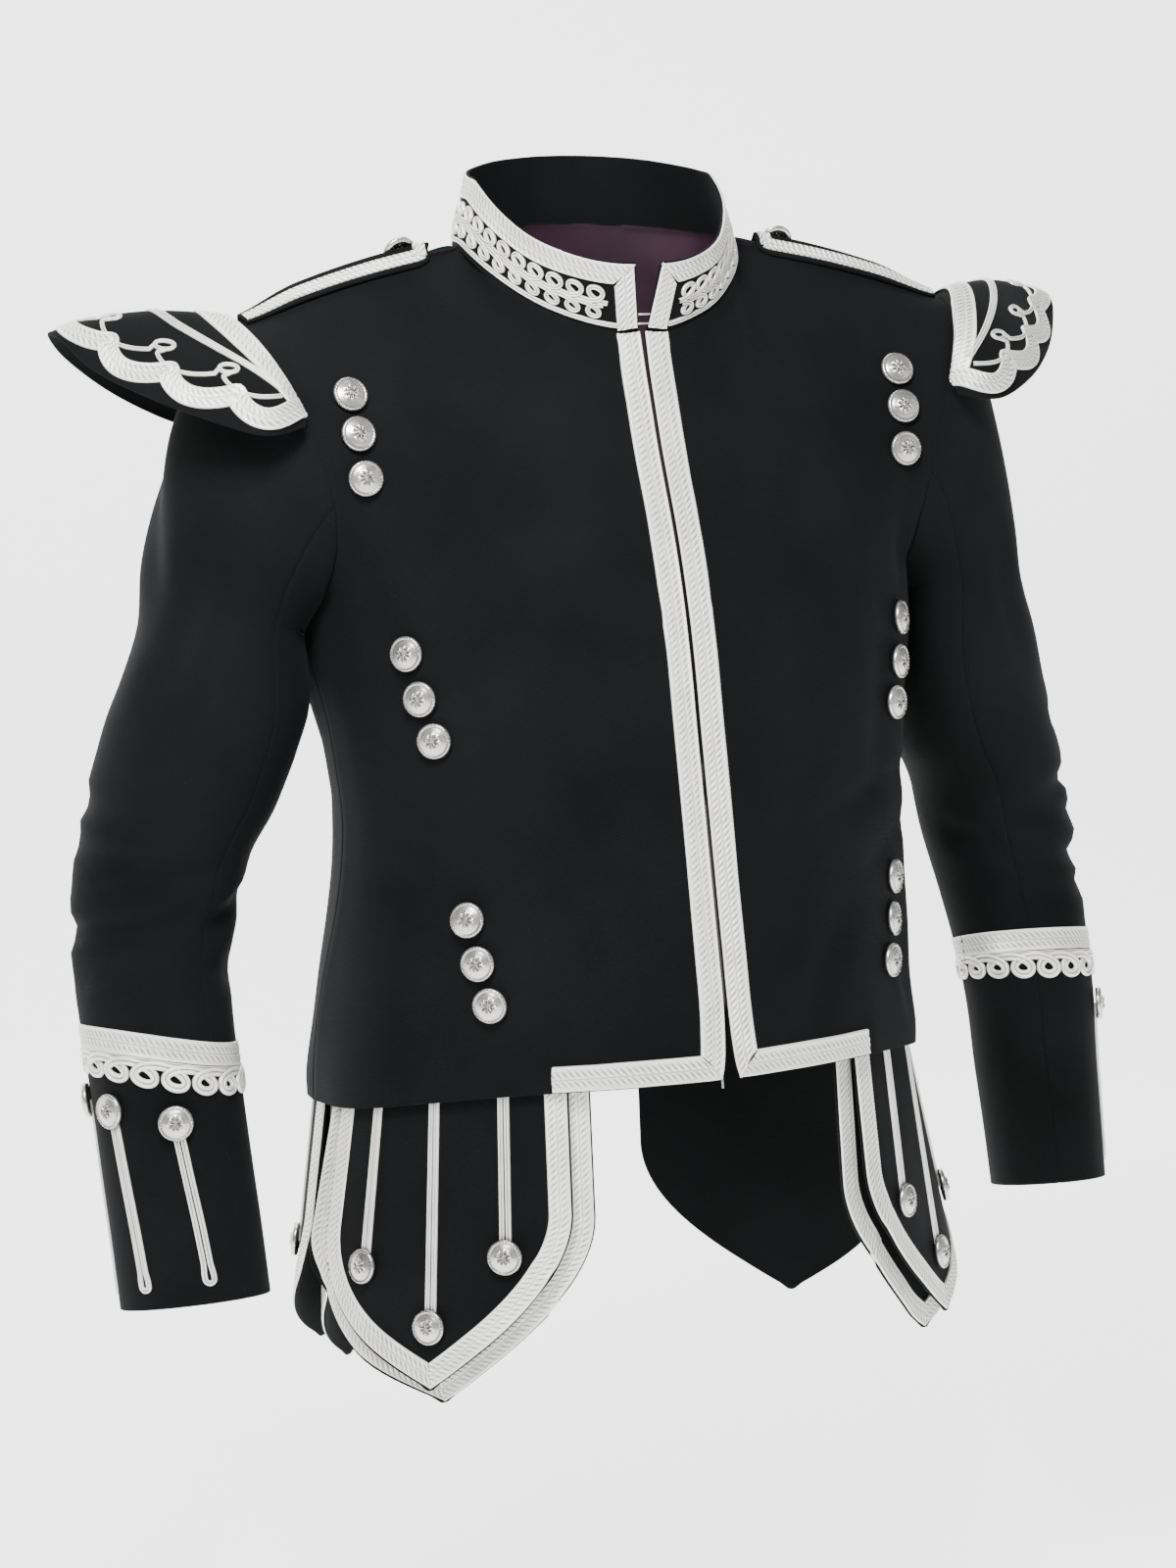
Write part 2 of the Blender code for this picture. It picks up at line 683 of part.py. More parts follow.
def sleeve_point(psi, v, turn_extra):
    """A point of the sleeve's outer face at x > 0; v 0 is the armhole and 1 the cuff."""
    head = HEAD_ROWS / SLEEVE_ROWS
    if v >= head:
        z = SLEEVE[0][2] + (SLEEVE[-1][2] - SLEEVE[0][2]) * (v - head) / (1.0 - head)
        return ring_point(sleeve_row(z), psi, turn_extra)
    f = v / head
    start = armhole_ring(psi)
    end = ring_point(sleeve_row(SLEEVE[0][2]), psi, turn_extra)
    crown = 0.5 + 0.5 * math.cos(psi)
    leave = np.array((0.075 * crown + 0.012, 0.014 * crown, -0.034 * crown - 0.008))
    arrive = np.array((0.014 * crown, 0.004, -0.020 - 0.210 * crown))
    f2, f3 = f * f, f * f * f
    return ((2 * f3 - 3 * f2 + 1) * start + (f3 - 2 * f2 + f) * leave
            + (3 * f2 - 2 * f3) * end + (f3 - f2) * arrive)


def sleeve_grid(first, last, steps, rows, turn_extra, seam=0.0):
    """Points and normals between two ring positions, counted in ring points."""
    points = np.zeros((len(rows), steps + 1, 3))
    normals = np.zeros_like(points)
    eps = 0.02
    for r, v in enumerate(rows):
        for k in range(steps + 1):
            place = first + (last - first) * k / steps
            psi = 2.0 * math.pi * place / SLEEVE_AROUND
            points[r, k] = sleeve_point(psi, v, turn_extra)
            across = sleeve_point(psi + eps, v, turn_extra) - sleeve_point(psi - eps, v, turn_extra)
            down = (sleeve_point(psi, min(v + eps, 1.0), turn_extra)
                    - sleeve_point(psi, max(v - eps, 0.0), turn_extra))
            normals[r, k] = unit(np.cross(across, down))
    if seam:
        points[:, 0] += unit(points[:, 1] - points[:, 0]) * seam
        points[:, -1] += unit(points[:, -2] - points[:, -1]) * seam
    return points, normals


# Share of the panel's own direction in the sleeve's first ring, by points from the shoulder tip.
HEAD_MITRE = (1.0, 1.0, 1.0, 1.0, 0.6, 0.3, 0.0)


def sleeve_sheet(first, last, turn_extra):
    """A part of the sleeve between two ring places, drawn in by half a seam at its edges."""
    rows = [r / SLEEVE_ROWS for r in range(SLEEVE_ROWS + 1)]
    points, normals = sleeve_grid(first, last, last - first, rows, turn_extra, 0.5 * SEAM_GAP)
    points[0] += unit(points[1] - points[0]) * SEAM_GAP * 2.0
    for k in range(last - first + 1):
        m = (first + k) % SLEEVE_AROUND
        from_tip = min(m, SLEEVE_AROUND - m)
        panel = FRONT.normals[m, -1] if m <= PIT_ROWS else BACK.normals[SLEEVE_AROUND - m, -1]
        share = HEAD_MITRE[min(from_tip, len(HEAD_MITRE) - 1)]
        normals[0, k] = unit(panel * share + normals[0, k] * (1.0 - share))
    return Sheet(points, normals)


def make_sleeves(mat):
    half = (SLEEVE_AROUND - UNDER_POINTS) // 2
    for side, suffix, turn_extra, _, _ in ARMS:
        top = sleeve_sheet(-half, half, turn_extra)
        under = sleeve_sheet(half, half + UNDER_POINTS, turn_extra)
        cloth_wall("sleeve_top_" + suffix, top.mirrored(side), mat)
        cloth_wall("sleeve_under_" + suffix, under.mirrored(side), mat)


# ---- wings --------------------------------------------------------------------------
# Outer edge of the wing, from its front tip to its back tip.
WING_EDGE_COLUMNS = ("x", "y", "z")
WING_EDGE = (
    (0.231, -0.071, -0.112),
    (0.262, -0.077, -0.117),
    (0.296, -0.061, -0.105),
    (0.326, -0.032, -0.089),
    (0.350, 0.000, -0.071),
    (0.364, 0.026, -0.050),
    (0.364, 0.054, -0.047),
    (0.345, 0.082, -0.063),
    (0.308, 0.100, -0.088),
    (0.266, 0.098, -0.109),
    (0.232, 0.082, -0.115),
)
WING_CROWN = 0.010        # how far the wing is arched between its two edges
WING_RISE = 0.0042        # from the armhole seam up to the wing
WING_COLS = 16
WING_ROWS = 4
WING_LIMIT = 0.97
WING_BRAID = 0.19         # share of the wing covered by the braid along the seam
WING_LOBES = 7            # scallops of the braid along the outer edge
WING_SEAM_FRONT = 2.05    # place of the front tip on the armhole, in rows of ARMHOLE
WING_SEAM_BACK = 1.45


def wing_point(along, out):
    """A point of the wing's upper face; along -1..1 front to back, out 0..1 seam to edge."""
    if along <= 0.0:
        seam = armhole(-along * WING_SEAM_FRONT)
    else:
        seam = armhole(len(ARMHOLE) - along * WING_SEAM_BACK)
    radial = unit(np.array((0.35, seam[1] * 14.0, 1.0)))
    seam = seam + radial * WING_RISE
    edge = hermite(WING_EDGE, (along + 1.0) * 0.5 * (len(WING_EDGE) - 1))
    point = seam + (edge - seam) * out
    away = unit(np.array((0.25, point[1] * 12.0, 1.0)))
    return point + away * WING_CROWN * 4.0 * out * (1.0 - out) * (1.0 - along ** 6)


def wing_sheet():
    eps = 0.01
    points = np.zeros((WING_ROWS + 1, WING_COLS + 1, 3))
    normals = np.zeros_like(points)
    for r, out in enumerate((0.0, WING_BRAID, 0.46, 0.73, 1.0)):
        for k in range(WING_COLS + 1):
            along = WING_LIMIT * (2.0 * k / WING_COLS - 1.0)
            points[r, k] = wing_point(along, out)
            ahead = wing_point(along + eps, out) - wing_point(along - eps, out)
            outward = wing_point(along, min(out + eps, 1.0)) - wing_point(along, max(out - eps, 0.0))
            normals[r, k] = unit(np.cross(outward, ahead))
    return Sheet(points, normals)


def make_wings(mat, silver):
    """The wing, and one closed crescent of braid: wide along the seam, scalloped along the edge."""
    sheet = wing_sheet()
    last = float(WING_COLS)
    spots = [0.45] + [float(k) for k in range(1, WING_COLS)] + [last - 0.6]
    seam = [(k, 0.02) for k in spots]
    edge = [(k, WING_ROWS - 0.06) for k in reversed(spots)]
    inner = [(float(k), 1.0) for k in range(1, WING_COLS)]
    lobes = []
    for k in range(2 * (WING_COLS - 2), 1, -1):
        a = 1.0 + 0.5 * k - 0.5
        lobe = abs(math.sin(math.pi * WING_LOBES * a / last))
        lobes.append((a, 3.02 + 0.42 * lobe))
    for side, suffix in ((-1, "r"), (1, "l")):
        half = sheet.mirrored(side)
        cloth_wall("wing_" + suffix, half, mat)
        trim("wing_braid_" + suffix, [seam + edge, inner + lobes], (), grid_lines(WING_ROWS, WING_COLS),
             lambda a, b: half.at(b, a), silver)


# ---- shoulder straps ----------------------------------------------------------------
STRAP_ROUND = 0.146       # share of the strap's length over which its end is rounded
STRAP_PAD = 0.0034        # how far the strap stands off the shoulder along its middle
STRAP_THICK = 0.0024
STRAP_BUTTON_LIFT = 0.0024
STRAP_ALONG = (0.0, 0.03, 0.08, 0.146, 0.371, 0.596, 0.820, 1.0)
STRAP_ACROSS = (-1.0, -0.55, 0.0, 0.55, 1.0)


def shoulder_place(along, distance):
    """A point of the shoulder: along 0 neck to 1 tip, distance from the seam, negative in front."""
    sheet = FRONT if distance < 0.0 else BACK
    col = NECK_COLS + SHOULDER_COLS * along
    first = sheet.at(0.0, col)[0]
    second = sheet.at(1.0, col)[0]
    row = abs(distance) / float(np.linalg.norm(second - first))
    return sheet.at(row, col)


def strap_sheet():
    """The strap's upper face, from its round neck end to the shoulder tip."""
    points = np.zeros((len(STRAP_ACROSS), len(STRAP_ALONG), 3))
    normals = np.zeros_like(points)
    for k, share in enumerate(STRAP_ALONG):
        round_part = 1.0 - min(share / STRAP_ROUND, 1.0)
        half = 0.5 * STRAP_WIDTH * math.sqrt(1.0 - 0.93 * round_part ** 2)
        along = STRAP_ENDS[0] + (STRAP_ENDS[1] - STRAP_ENDS[0]) * share
        for r, across in enumerate(STRAP_ACROSS):
            point, normal = shoulder_place(along, STRAP_BACK + half * across)
            normal = unit(normal + np.array((0.0, 0.0, 1.2)))
            stand = 0.0024 + STRAP_PAD * (1.0 - across ** 2) + STRAP_THICK
            points[r, k] = point + normal * stand
            normals[r, k] = normal
    return Sheet(points, normals)


def make_straps(mat, silver):
    """The strap, its braid round the edge and the button at its neck end."""
    sheet = strap_sheet()
    last = len(STRAP_ALONG) - 1.0
    span = [last - 0.1, last - 1.0, last - 2.0, last - 3.0, last - 4.0, last - 5.0, last - 6.0]
    outer = [(a, 0.06) for a in span] + [(0.15, 0.5), (0.1, 2.0), (0.15, 3.5)]
    outer += [(a, 3.94) for a in span[::-1]]
    inner = [(a, 3.05) for a in span[:4]] + [(last - 4.0, 3.0), (2.4, 2.6), (2.3, 2.0), (2.4, 1.4)]
    inner += [(last - 4.0, 1.0)] + [(a, 0.95) for a in span[3::-1]]
    for side, suffix in ((-1, "r"), (1, "l")):
        half = sheet.mirrored(side)
        wall("strap_" + suffix, half.points, half.points - half.normals * STRAP_THICK, mat)
        trim("strap_braid_" + suffix, [outer + inner], (), grid_lines(4, len(STRAP_ALONG) - 1),
             lambda a, b: half.at(b, a), silver)
        place, normal = half.at(2.0, 3.55)
        button("strap_button_" + suffix, place + normal * STRAP_BUTTON_LIFT, normal, silver)


# ---- hem flaps ----------------------------------------------------------------------
FLAP_COLUMNS = ("name", "centre", "half_width", "flare share")
FLAPS = (("front", 0.199, 0.110, 0.8), ("back", 0.423, 0.110, 1.05))
FLAP_INSET_OVER = 0.0056  # flap's face inside the outer face of the hem
FLAP_INSET_UNDER = 0.0106
FLAP_TOP = 0.010          # how far the flaps reach up behind the hem
FLAP_ARCH = 0.42          # where the straight sides end, down the flap
FLAP_FLARE_FRONT = 0.014
FLAP_FLARE_SIDE = 0.030
FLAP_UNDER_FLARE = 0.35   # share of the flare that the under flap takes
FLAP_COLS = 6
FLAP_ROWS = 6
FLAP_BRAID = 0.0150
FLAP_CORDS = ((-0.64, 0.104), (0.0, 0.146), (0.64, 0.104))   # across, as a share, and button height
FLAP_CORD_HALF = 0.0040


def hem_points():
    """The faceted hem at x >= 0 as lengths, points and outward directions, front to back."""
    points = list(FRONT.points[-1]) + list(BACK.points[-1][-2::-1])
    lengths = [0.0]
    for a, b in zip(points, points[1:]):
        lengths.append(lengths[-1] + float(np.linalg.norm(b - a)))
    outs = []
    for k in range(len(points)):
        side = surface_edge(points, k)
        outs.append(unit(np.array((side[1], -side[0], 0.0))))
    outs[0] = np.array((0.0, -1.0, 0.0))
    return lengths, points, outs


HEM_LENGTHS, HEM_POINTS, HEM_OUTS = hem_points()


def hem_at(length):
    """A point of the hem and the level direction out of it."""
    length = min(max(length, 0.0), HEM_LENGTHS[-1])
    k = 0
    while k < len(HEM_LENGTHS) - 2 and length > HEM_LENGTHS[k + 1]:
        k += 1
    f = (length - HEM_LENGTHS[k]) / (HEM_LENGTHS[k + 1] - HEM_LENGTHS[k])
    point = HEM_POINTS[k] * (1.0 - f) + HEM_POINTS[k + 1] * f
    return point, unit(HEM_OUTS[k] * (1.0 - f) + HEM_OUTS[k + 1] * f)


def flap_place(length, down, inset, share):
    """A point of a flap below the hem at a length from the centre front."""
    base, out = hem_at(length)
    turn = math.sin(math.pi * length / HEM_LENGTHS[-1]) ** 2
    flare = (FLAP_FLARE_FRONT + (FLAP_FLARE_SIDE - FLAP_FLARE_FRONT) * turn) * share
    fall = max(down, 0.0) / FLAP_LENGTH
    point = base + out * (flare * fall - inset)
    point[2] -= down
    return point


def flap_width(fall):
    """Half width of the shield shape as a share, by the share of its length."""
    if fall <= FLAP_ARCH:
        return 1.0
    return max(1.0 - ((fall - FLAP_ARCH) / (1.0 - FLAP_ARCH)) ** 1.9, 0.02)


class Flap:
    """One flap: its sheet and the flat shape that its braid is cut to."""

    def __init__(self, centre, half, length, inset, share):
        self.half = half
        self.length = length
        self.downs = [-FLAP_TOP] + [length * (r / (FLAP_ROWS - 1)) ** 0.85 for r in range(FLAP_ROWS)]
        self.halves = [half * flap_width(max(down, 0.0) / length) for down in self.downs]
        eps = 0.002
        points = np.zeros((len(self.downs), FLAP_COLS + 1, 3))
        normals = np.zeros_like(points)
        for r, (down, wide) in enumerate(zip(self.downs, self.halves)):
            for k in range(FLAP_COLS + 1):
                place = centre + wide * (2.0 * k / FLAP_COLS - 1.0)
                base = max(down, 0.0)
                points[r, k] = flap_place(place, down, inset, share)
                before = flap_place(place - eps, base, inset, share)
                aside = flap_place(place + eps, base, inset, share) - before
                drop = flap_place(place, base + eps, inset, share)
                drop = drop - flap_place(place, base, inset, share)
                normals[r, k] = unit(np.cross(drop, aside))
        self.sheet = Sheet(points, normals)

    def place(self, side):
        sheet = self.sheet.mirrored(side)

        def at(across, down):
            r = 0
            while r < len(self.downs) - 2 and down > self.downs[r + 1]:
                r += 1
            f = (down - self.downs[r]) / (self.downs[r + 1] - self.downs[r])
            half = self.halves[r] * (1.0 - f) + self.halves[r + 1] * f
            return sheet.at(r + f, (across / half + 1.0) * 0.5 * FLAP_COLS)

        return at

    def lines(self):
        """Flat lines through the grid of the flap."""
        lines = []
        for down in self.downs:
            if down > FLAP_ARCH * self.length:
                lines.append([(-self.half, down), (self.half, down)])
        for k in range(1, FLAP_COLS):
            share = 2.0 * k / FLAP_COLS - 1.0
            lines.append([(share * half, down) for down, half in zip(self.downs, self.halves)])
        return lines

    def edge(self, inset):
        """The shield outline drawn in by an inset, from the top left round the tip."""
        left = []
        for down, half in list(zip(self.downs, self.halves))[1:-1]:
            reach = half - inset * (1.0 + 0.25 * (down / self.length) ** 3)
            left.append((-reach, down * (1.0 - inset / self.length)))
        tip = [(0.0, self.length - 1.5 * inset)]
        return left + tip + [(-a, b) for a, b in reversed(left)]


def make_flaps(mat, silver):
    for name, centre, half, flare in FLAPS:
        over = Flap(centre, half - FLAP_UNDER_EXTRA, FLAP_LENGTH, FLAP_INSET_OVER, flare)
        under = Flap(centre, half, FLAP_LENGTH + FLAP_UNDER_DROP, FLAP_INSET_UNDER, flare * FLAP_UNDER_FLARE)
        top = -FLAP_TOP + 0.0012
        strip = -0.0020
        outer = over.edge(0.0010)
        outer = [(outer[0][0], top)] + outer + [(outer[-1][0], top)]
        inner = over.edge(FLAP_BRAID)
        hole = [(inner[0][0], strip)] + inner + [(inner[-1][0], strip)]
        domes = []
        for share, low in reversed(FLAP_CORDS):
            x = share * (over.half - FLAP_BRAID)
            w = FLAP_CORD_HALF
            knob = [(x + BUTTON_RADIUS * 1.12 * math.sin(t), low - BUTTON_RADIUS * 1.12 * math.cos(t))
                    for t in (0.4, 1.3, 2.2, math.pi, -2.2, -1.3, -0.4)]
            hole += [(x + w, strip), (x + w, 0.5 * low)] + knob + [(x - w, 0.5 * low), (x - w, strip)]
            domes.append((x, low, BUTTON_RADIUS * 0.92))
        under_outer = under.edge(0.0010)
        under_outer = [(under_outer[0][0], 0.0)] + under_outer[1:-1] + [(under_outer[-1][0], 0.0)]
        under_inner = under.edge(FLAP_BRAID)
        under_inner = [(under_inner[0][0], 0.0)] + under_inner[1:-1] + [(under_inner[-1][0], 0.0)]
        for side, suffix in ((-1, "r"), (1, "l")):
            label = name + "_" + suffix
            cloth_wall("flap_over_" + label, over.sheet.mirrored(side), mat)
            cloth_wall("flap_under_" + label, under.sheet.mirrored(side), mat)
            trim("flap_over_braid_" + label, [outer, hole], domes, over.lines(), over.place(side), silver)
            trim("flap_under_braid_" + label, [under_outer + under_inner[::-1]], (), under.lines(),
                 under.place(side), silver)


# ---- cuffs --------------------------------------------------------------------------
CUFF_TOP = -0.503         # height of the upper edge of the cuff braid
CUFF_BAND = 0.0170
CUFF_LOOP = 0.0150        # how far the row of coils hangs below the band
CUFF_COILS = 16
CUFF_GIRTH = 0.0475       # mean radius that the braid is laid out on
CUFF_FIRST = {"r": -28.0, "l": -68.0}   # degrees round the sleeve of the first button
CUFF_STEP = 51.0
CUFF_BUTTON_DOWN = 0.0505
CUFF_BAR_END = 0.165
CUFF_BAR_HALF = 0.0040
CUFF_LEVELS = (0.024, 0.046, 0.090, 0.130)   # depths at which the trim is cut across


def cuff_place(turn_extra, side, dip, dip_place):
    """The sleeve's face at an arc and a depth below the top of the cuff braid, in metres."""
    half = SLEEVE_AROUND // 2
    rows = [r / SLEEVE_ROWS for r in range(SLEEVE_ROWS + 1)]
    points, normals = sleeve_grid(-half, half, SLEEVE_AROUND, rows, turn_extra)
    sheet = Sheet(points, normals).mirrored(side)
    low = SLEEVE_ROWS - HEAD_ROWS
    span = SLEEVE[0][2] - SLEEVE[-1][2]

    def at(arc, down):
        fade = 1.0 - smooth((down - CUFF_BUTTON_DOWN) / (CUFF_BAR_END - CUFF_BUTTON_DOWN))
        down = down + dip * (0.2 + math.cos(arc / CUFF_GIRTH - math.radians(dip_place))) * fade
        row = HEAD_ROWS + low * (SLEEVE[0][2] - CUFF_TOP + down) / span
        return sheet.at(row, half * (arc / (math.pi * CUFF_GIRTH) + 1.0))

    return at


def cuff_outline(suffix):
    """The lower edge of the cuff braid, its coils and its bars, from one end to the other."""
    reach = math.pi * CUFF_GIRTH - 0.0006
    steps = 2 * CUFF_COILS
    low = []
    for k in range(steps + 1):
        low.append((reach * (2.0 * k / steps - 1.0), CUFF_BAND + (CUFF_LOOP if k % 2 else 0.0)))
    domes = []
    for number in range(3):
        x = math.radians(CUFF_FIRST[suffix] + CUFF_STEP * number) * CUFF_GIRTH
        w = CUFF_BAR_HALF
        r = BUTTON_RADIUS * 1.12
        turns = (0.4, 1.4, 2.5)
        left = [(x - r * math.sin(t), CUFF_BUTTON_DOWN - r * math.cos(t)) for t in turns]
        bar = [(x - w, CUFF_BUTTON_DOWN + r), (x - w, CUFF_BAR_END), (x, CUFF_BAR_END + w)]
        path = [(x - w, CUFF_BAND + 0.006)] + left + bar[:2]
        path = path + [bar[2]] + [(2.0 * x - a, b) for a, b in reversed(path)]
        low = [p for p in low if abs(p[0] - x) > w + 0.0035]
        after = sum(1 for p in low if p[0] < x)
        low[after:after] = path
        domes.append((x, CUFF_BUTTON_DOWN, BUTTON_RADIUS * 0.92))
    return low, domes, reach


def make_cuffs(silver):
    """One strip of braid round the cuff, its coils, and the three buttons with their bars."""
    half = SLEEVE_AROUND // 2
    for side, suffix, turn_extra, dip, dip_place in ARMS:
        low, domes, reach = cuff_outline(suffix)
        places = [math.pi * CUFF_GIRTH * k / half for k in range(-half, half + 1)]
        lines = [[(a, -0.01), (a, 0.20)] for a in places]
        lines += [[(-0.2, level), (0.2, level)] for level in CUFF_LEVELS]
        top = [(reach, 0.0), (-reach, 0.0)]
        place = cuff_place(turn_extra, side, dip, dip_place)
        trim("cuff_braid_" + suffix, [low + top], domes, lines, place, silver)


# ---- buttons ------------------------------------------------------------------------
def front_button_place(across, z):
    """Place and normal on the front panel, found from its X and its height."""
    row, col = 8.0, 6.0
    step = 0.05
    for _ in range(60):
        point = FRONT.at(row, col)[0]
        wide = (FRONT.at(row, col + step)[0] - FRONT.at(row, col - step)[0]) / (2.0 * step)
        down = (FRONT.at(row + step, col)[0] - FRONT.at(row - step, col)[0]) / (2.0 * step)
        matrix = np.array(((wide[0], down[0]), (wide[2], down[2])))
        move = np.linalg.solve(matrix, np.array((across - point[0], z - point[2])))
        col = min(max(col + 0.6 * move[0], 1.0), NECK_COLS + SHOULDER_COLS - 0.35)
        row = min(max(row + 0.6 * move[1], 1.0), PANEL_ROWS - 0.2)
    return FRONT.at(row, col)


def make_front_buttons(silver):
    for number, (across, z) in enumerate(FRONT_BUTTONS, 1):
        point, normal = front_button_place(across, z)
        place = point + normal * 0.0011
        for side, suffix in ((-1, "r"), (1, "l")):
            button("button_%s_%d" % (suffix, number), mirror(place, side), mirror(normal, side), silver)


def main():
    clear_scene()
    wool = material("wool", WOOL, 0.85, 0.0)
    silver = material("silver", SILVER, 0.35, 0.9)
    make_torso(wool)
    make_collar(wool, silver)
    make_sleeves(wool)
    make_wings(wool, silver)
    make_straps(wool, silver)
    make_front_braid(silver)
    make_flaps(wool, silver)
    make_cuffs(silver)
    make_front_buttons(silver)


main()
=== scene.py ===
"""Looks of the kilt doublet jacket: black wool cloth with its folds, silver braid, cord and buttons.

Metres, +Z up, the front faces -Y, and the wearer's right is at -X.
Each cloth piece is a smooth thin shell through the same coarse grid as its solid, with soft folds.
Braid and cord are raised strips laid on those shells.
"""
import math

import bpy
import numpy as np
from mathutils import Matrix, Vector


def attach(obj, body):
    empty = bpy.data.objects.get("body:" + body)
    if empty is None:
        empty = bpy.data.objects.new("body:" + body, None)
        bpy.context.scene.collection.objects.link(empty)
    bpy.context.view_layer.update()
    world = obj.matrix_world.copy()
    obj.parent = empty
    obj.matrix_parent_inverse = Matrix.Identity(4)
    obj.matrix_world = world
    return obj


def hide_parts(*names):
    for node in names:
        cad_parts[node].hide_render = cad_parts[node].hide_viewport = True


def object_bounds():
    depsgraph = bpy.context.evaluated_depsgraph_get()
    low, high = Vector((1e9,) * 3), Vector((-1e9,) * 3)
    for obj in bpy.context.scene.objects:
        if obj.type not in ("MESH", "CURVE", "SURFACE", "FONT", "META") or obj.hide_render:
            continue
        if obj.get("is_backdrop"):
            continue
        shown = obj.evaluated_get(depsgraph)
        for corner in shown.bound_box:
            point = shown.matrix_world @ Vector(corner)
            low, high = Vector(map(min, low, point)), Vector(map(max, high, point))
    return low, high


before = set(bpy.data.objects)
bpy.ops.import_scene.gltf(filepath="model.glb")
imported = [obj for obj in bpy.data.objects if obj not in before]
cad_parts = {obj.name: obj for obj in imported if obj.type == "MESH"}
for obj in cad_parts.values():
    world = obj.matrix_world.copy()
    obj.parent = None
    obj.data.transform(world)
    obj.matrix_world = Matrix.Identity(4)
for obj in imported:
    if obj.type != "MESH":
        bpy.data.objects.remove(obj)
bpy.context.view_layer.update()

# ---- the form, as in the solids -----------------------------------------------------
CLOTH = 0.0020            # wall of the wool pieces
SEAM_GAP = 0.0003         # space between neighbouring pieces
BRAID_WIDTH = 0.0160      # width of the wide braid
BUTTON_RADIUS = 0.0115
BUTTON_HEIGHT = 0.0052
SIDES = ((-1, "r"), (1, "l"))   # the side of X and its suffix in the names

NECK_HALF_WIDTH = 0.098
NECK_FRONT = 0.075        # centre back of the neck base to the front neck point, along Y
NECK_BACK = 0.066
NECK_FRONT_DROP = 0.062   # the front neck point below the shoulder line
NECK_BACK_RISE = 0.016
HEM_FRONT = -0.544        # height of the hem at the centre front
HEM_SIDE = -0.568
HEM_BACK = -0.568
COLLAR_HEIGHT = 0.043

# Torso sections, one row each, from the hem up; side_y is where the side seam runs.
SECTION_COLUMNS = ("z", "half_width", "front_depth", "back_depth", "side_y", "roundness")
SECTIONS = (
    (-0.560, 0.214, 0.168, 0.171, 0.046, 2.05),
    (-0.500, 0.210, 0.163, 0.162, 0.036, 2.20),
    (-0.440, 0.202, 0.155, 0.144, 0.016, 2.35),
    (-0.380, 0.198, 0.147, 0.126, 0.002, 2.40),
    (-0.320, 0.204, 0.139, 0.126, 0.000, 2.45),
    (-0.260, 0.214, 0.131, 0.134, 0.000, 2.40),
    (-0.200, 0.223, 0.117, 0.133, 0.000, 2.10),
    (-0.140, 0.228, 0.096, 0.126, 0.000, 2.10),
    (-0.060, 0.232, 0.075, 0.096, 0.000, 2.10),
    (0.020, 0.232, 0.070, 0.066, 0.000, 2.10),
)

# Armhole seam, from the shoulder tip down the front and up the back.
ARMHOLE_COLUMNS = ("x", "y", "z")
ARMHOLE = (
    (0.259, 0.000, -0.045),
    (0.247, -0.040, -0.068),
    (0.230, -0.062, -0.110),
    (0.216, -0.066, -0.160),
    (0.211, -0.044, -0.208),
    (0.219, 0.002, -0.232),
    (0.214, 0.050, -0.206),
    (0.217, 0.072, -0.155),
    (0.238, 0.052, -0.088),
)
PIT_ROW = 5               # the row of ARMHOLE that is the underarm point

# Half of the gap between the two front edges, by height.
OPENING_COLUMNS = ("z", "half_gap")
OPENING = ((-0.544, 0.0062), (-0.530, 0.0030), (-0.500, 0.0012), (-0.100, 0.0012), (-0.062, 0.0016))

# Sleeve sections below the armhole: middle of the ring, its half sizes and its lean.
SLEEVE_COLUMNS = ("x", "y", "z", "half_side", "half_deep", "turn")
SLEEVE = (
    (0.2695, 0.026, -0.245, 0.0500, 0.0700, 0.0),
    (0.2745, 0.029, -0.290, 0.0595, 0.0680, 0.0),
    (0.2860, 0.036, -0.325, 0.0605, 0.0660, 2.0),
    (0.3020, 0.043, -0.360, 0.0550, 0.0640, 5.0),
    (0.3160, 0.047, -0.420, 0.0535, 0.0590, 10.0),
    (0.3230, 0.041, -0.470, 0.0490, 0.0545, 15.0),
    (0.3240, 0.021, -0.530, 0.0460, 0.0520, 20.0),
    (0.3220, 0.008, -0.600, 0.0430, 0.0515, 25.0),
    (0.3200, -0.008, -0.680, 0.0400, 0.0510, 30.0),
)
# How far each arm hangs from the table: the wearer's right arm (-X), then the left.
ARM_COLUMNS = ("side", "suffix", "cuff_turn", "braid_dip", "dip_place")
ARMS = ((-1, "r", 20.0, 0.015, 130.0), (1, "l", -20.0, 0.006, 70.0))

FLAP_LENGTH = 0.187
FLAP_UNDER_EXTRA = 0.014  # how far the under flap shows past the upper one at its sides
FLAP_UNDER_DROP = 0.012
STRAP_WIDTH = 0.040
STRAP_ENDS = (0.070, 0.960)   # along the shoulder seam, from the neck to the tip
STRAP_BACK = 0.006        # how far behind the shoulder seam its middle lies

BUTTON_COLUMNS = ("across", "z")
FRONT_BUTTONS = (
    (0.197, -0.095), (0.196, -0.120), (0.194, -0.148),
    (0.176, -0.261), (0.171, -0.290), (0.165, -0.317),
    (0.153, -0.433), (0.149, -0.461), (0.144, -0.488),
)


def unit(vectors):
    """Vectors of length one, along the last axis."""
    vectors = np.asarray(vectors, float)
    size = np.linalg.norm(vectors, axis=-1, keepdims=True)
    return vectors / np.maximum(size, 1e-12)


def smooth(t):
    """0 to 1 with level ends."""
    t = np.clip(t, 0.0, 1.0)
    return t * t * (3.0 - 2.0 * t)


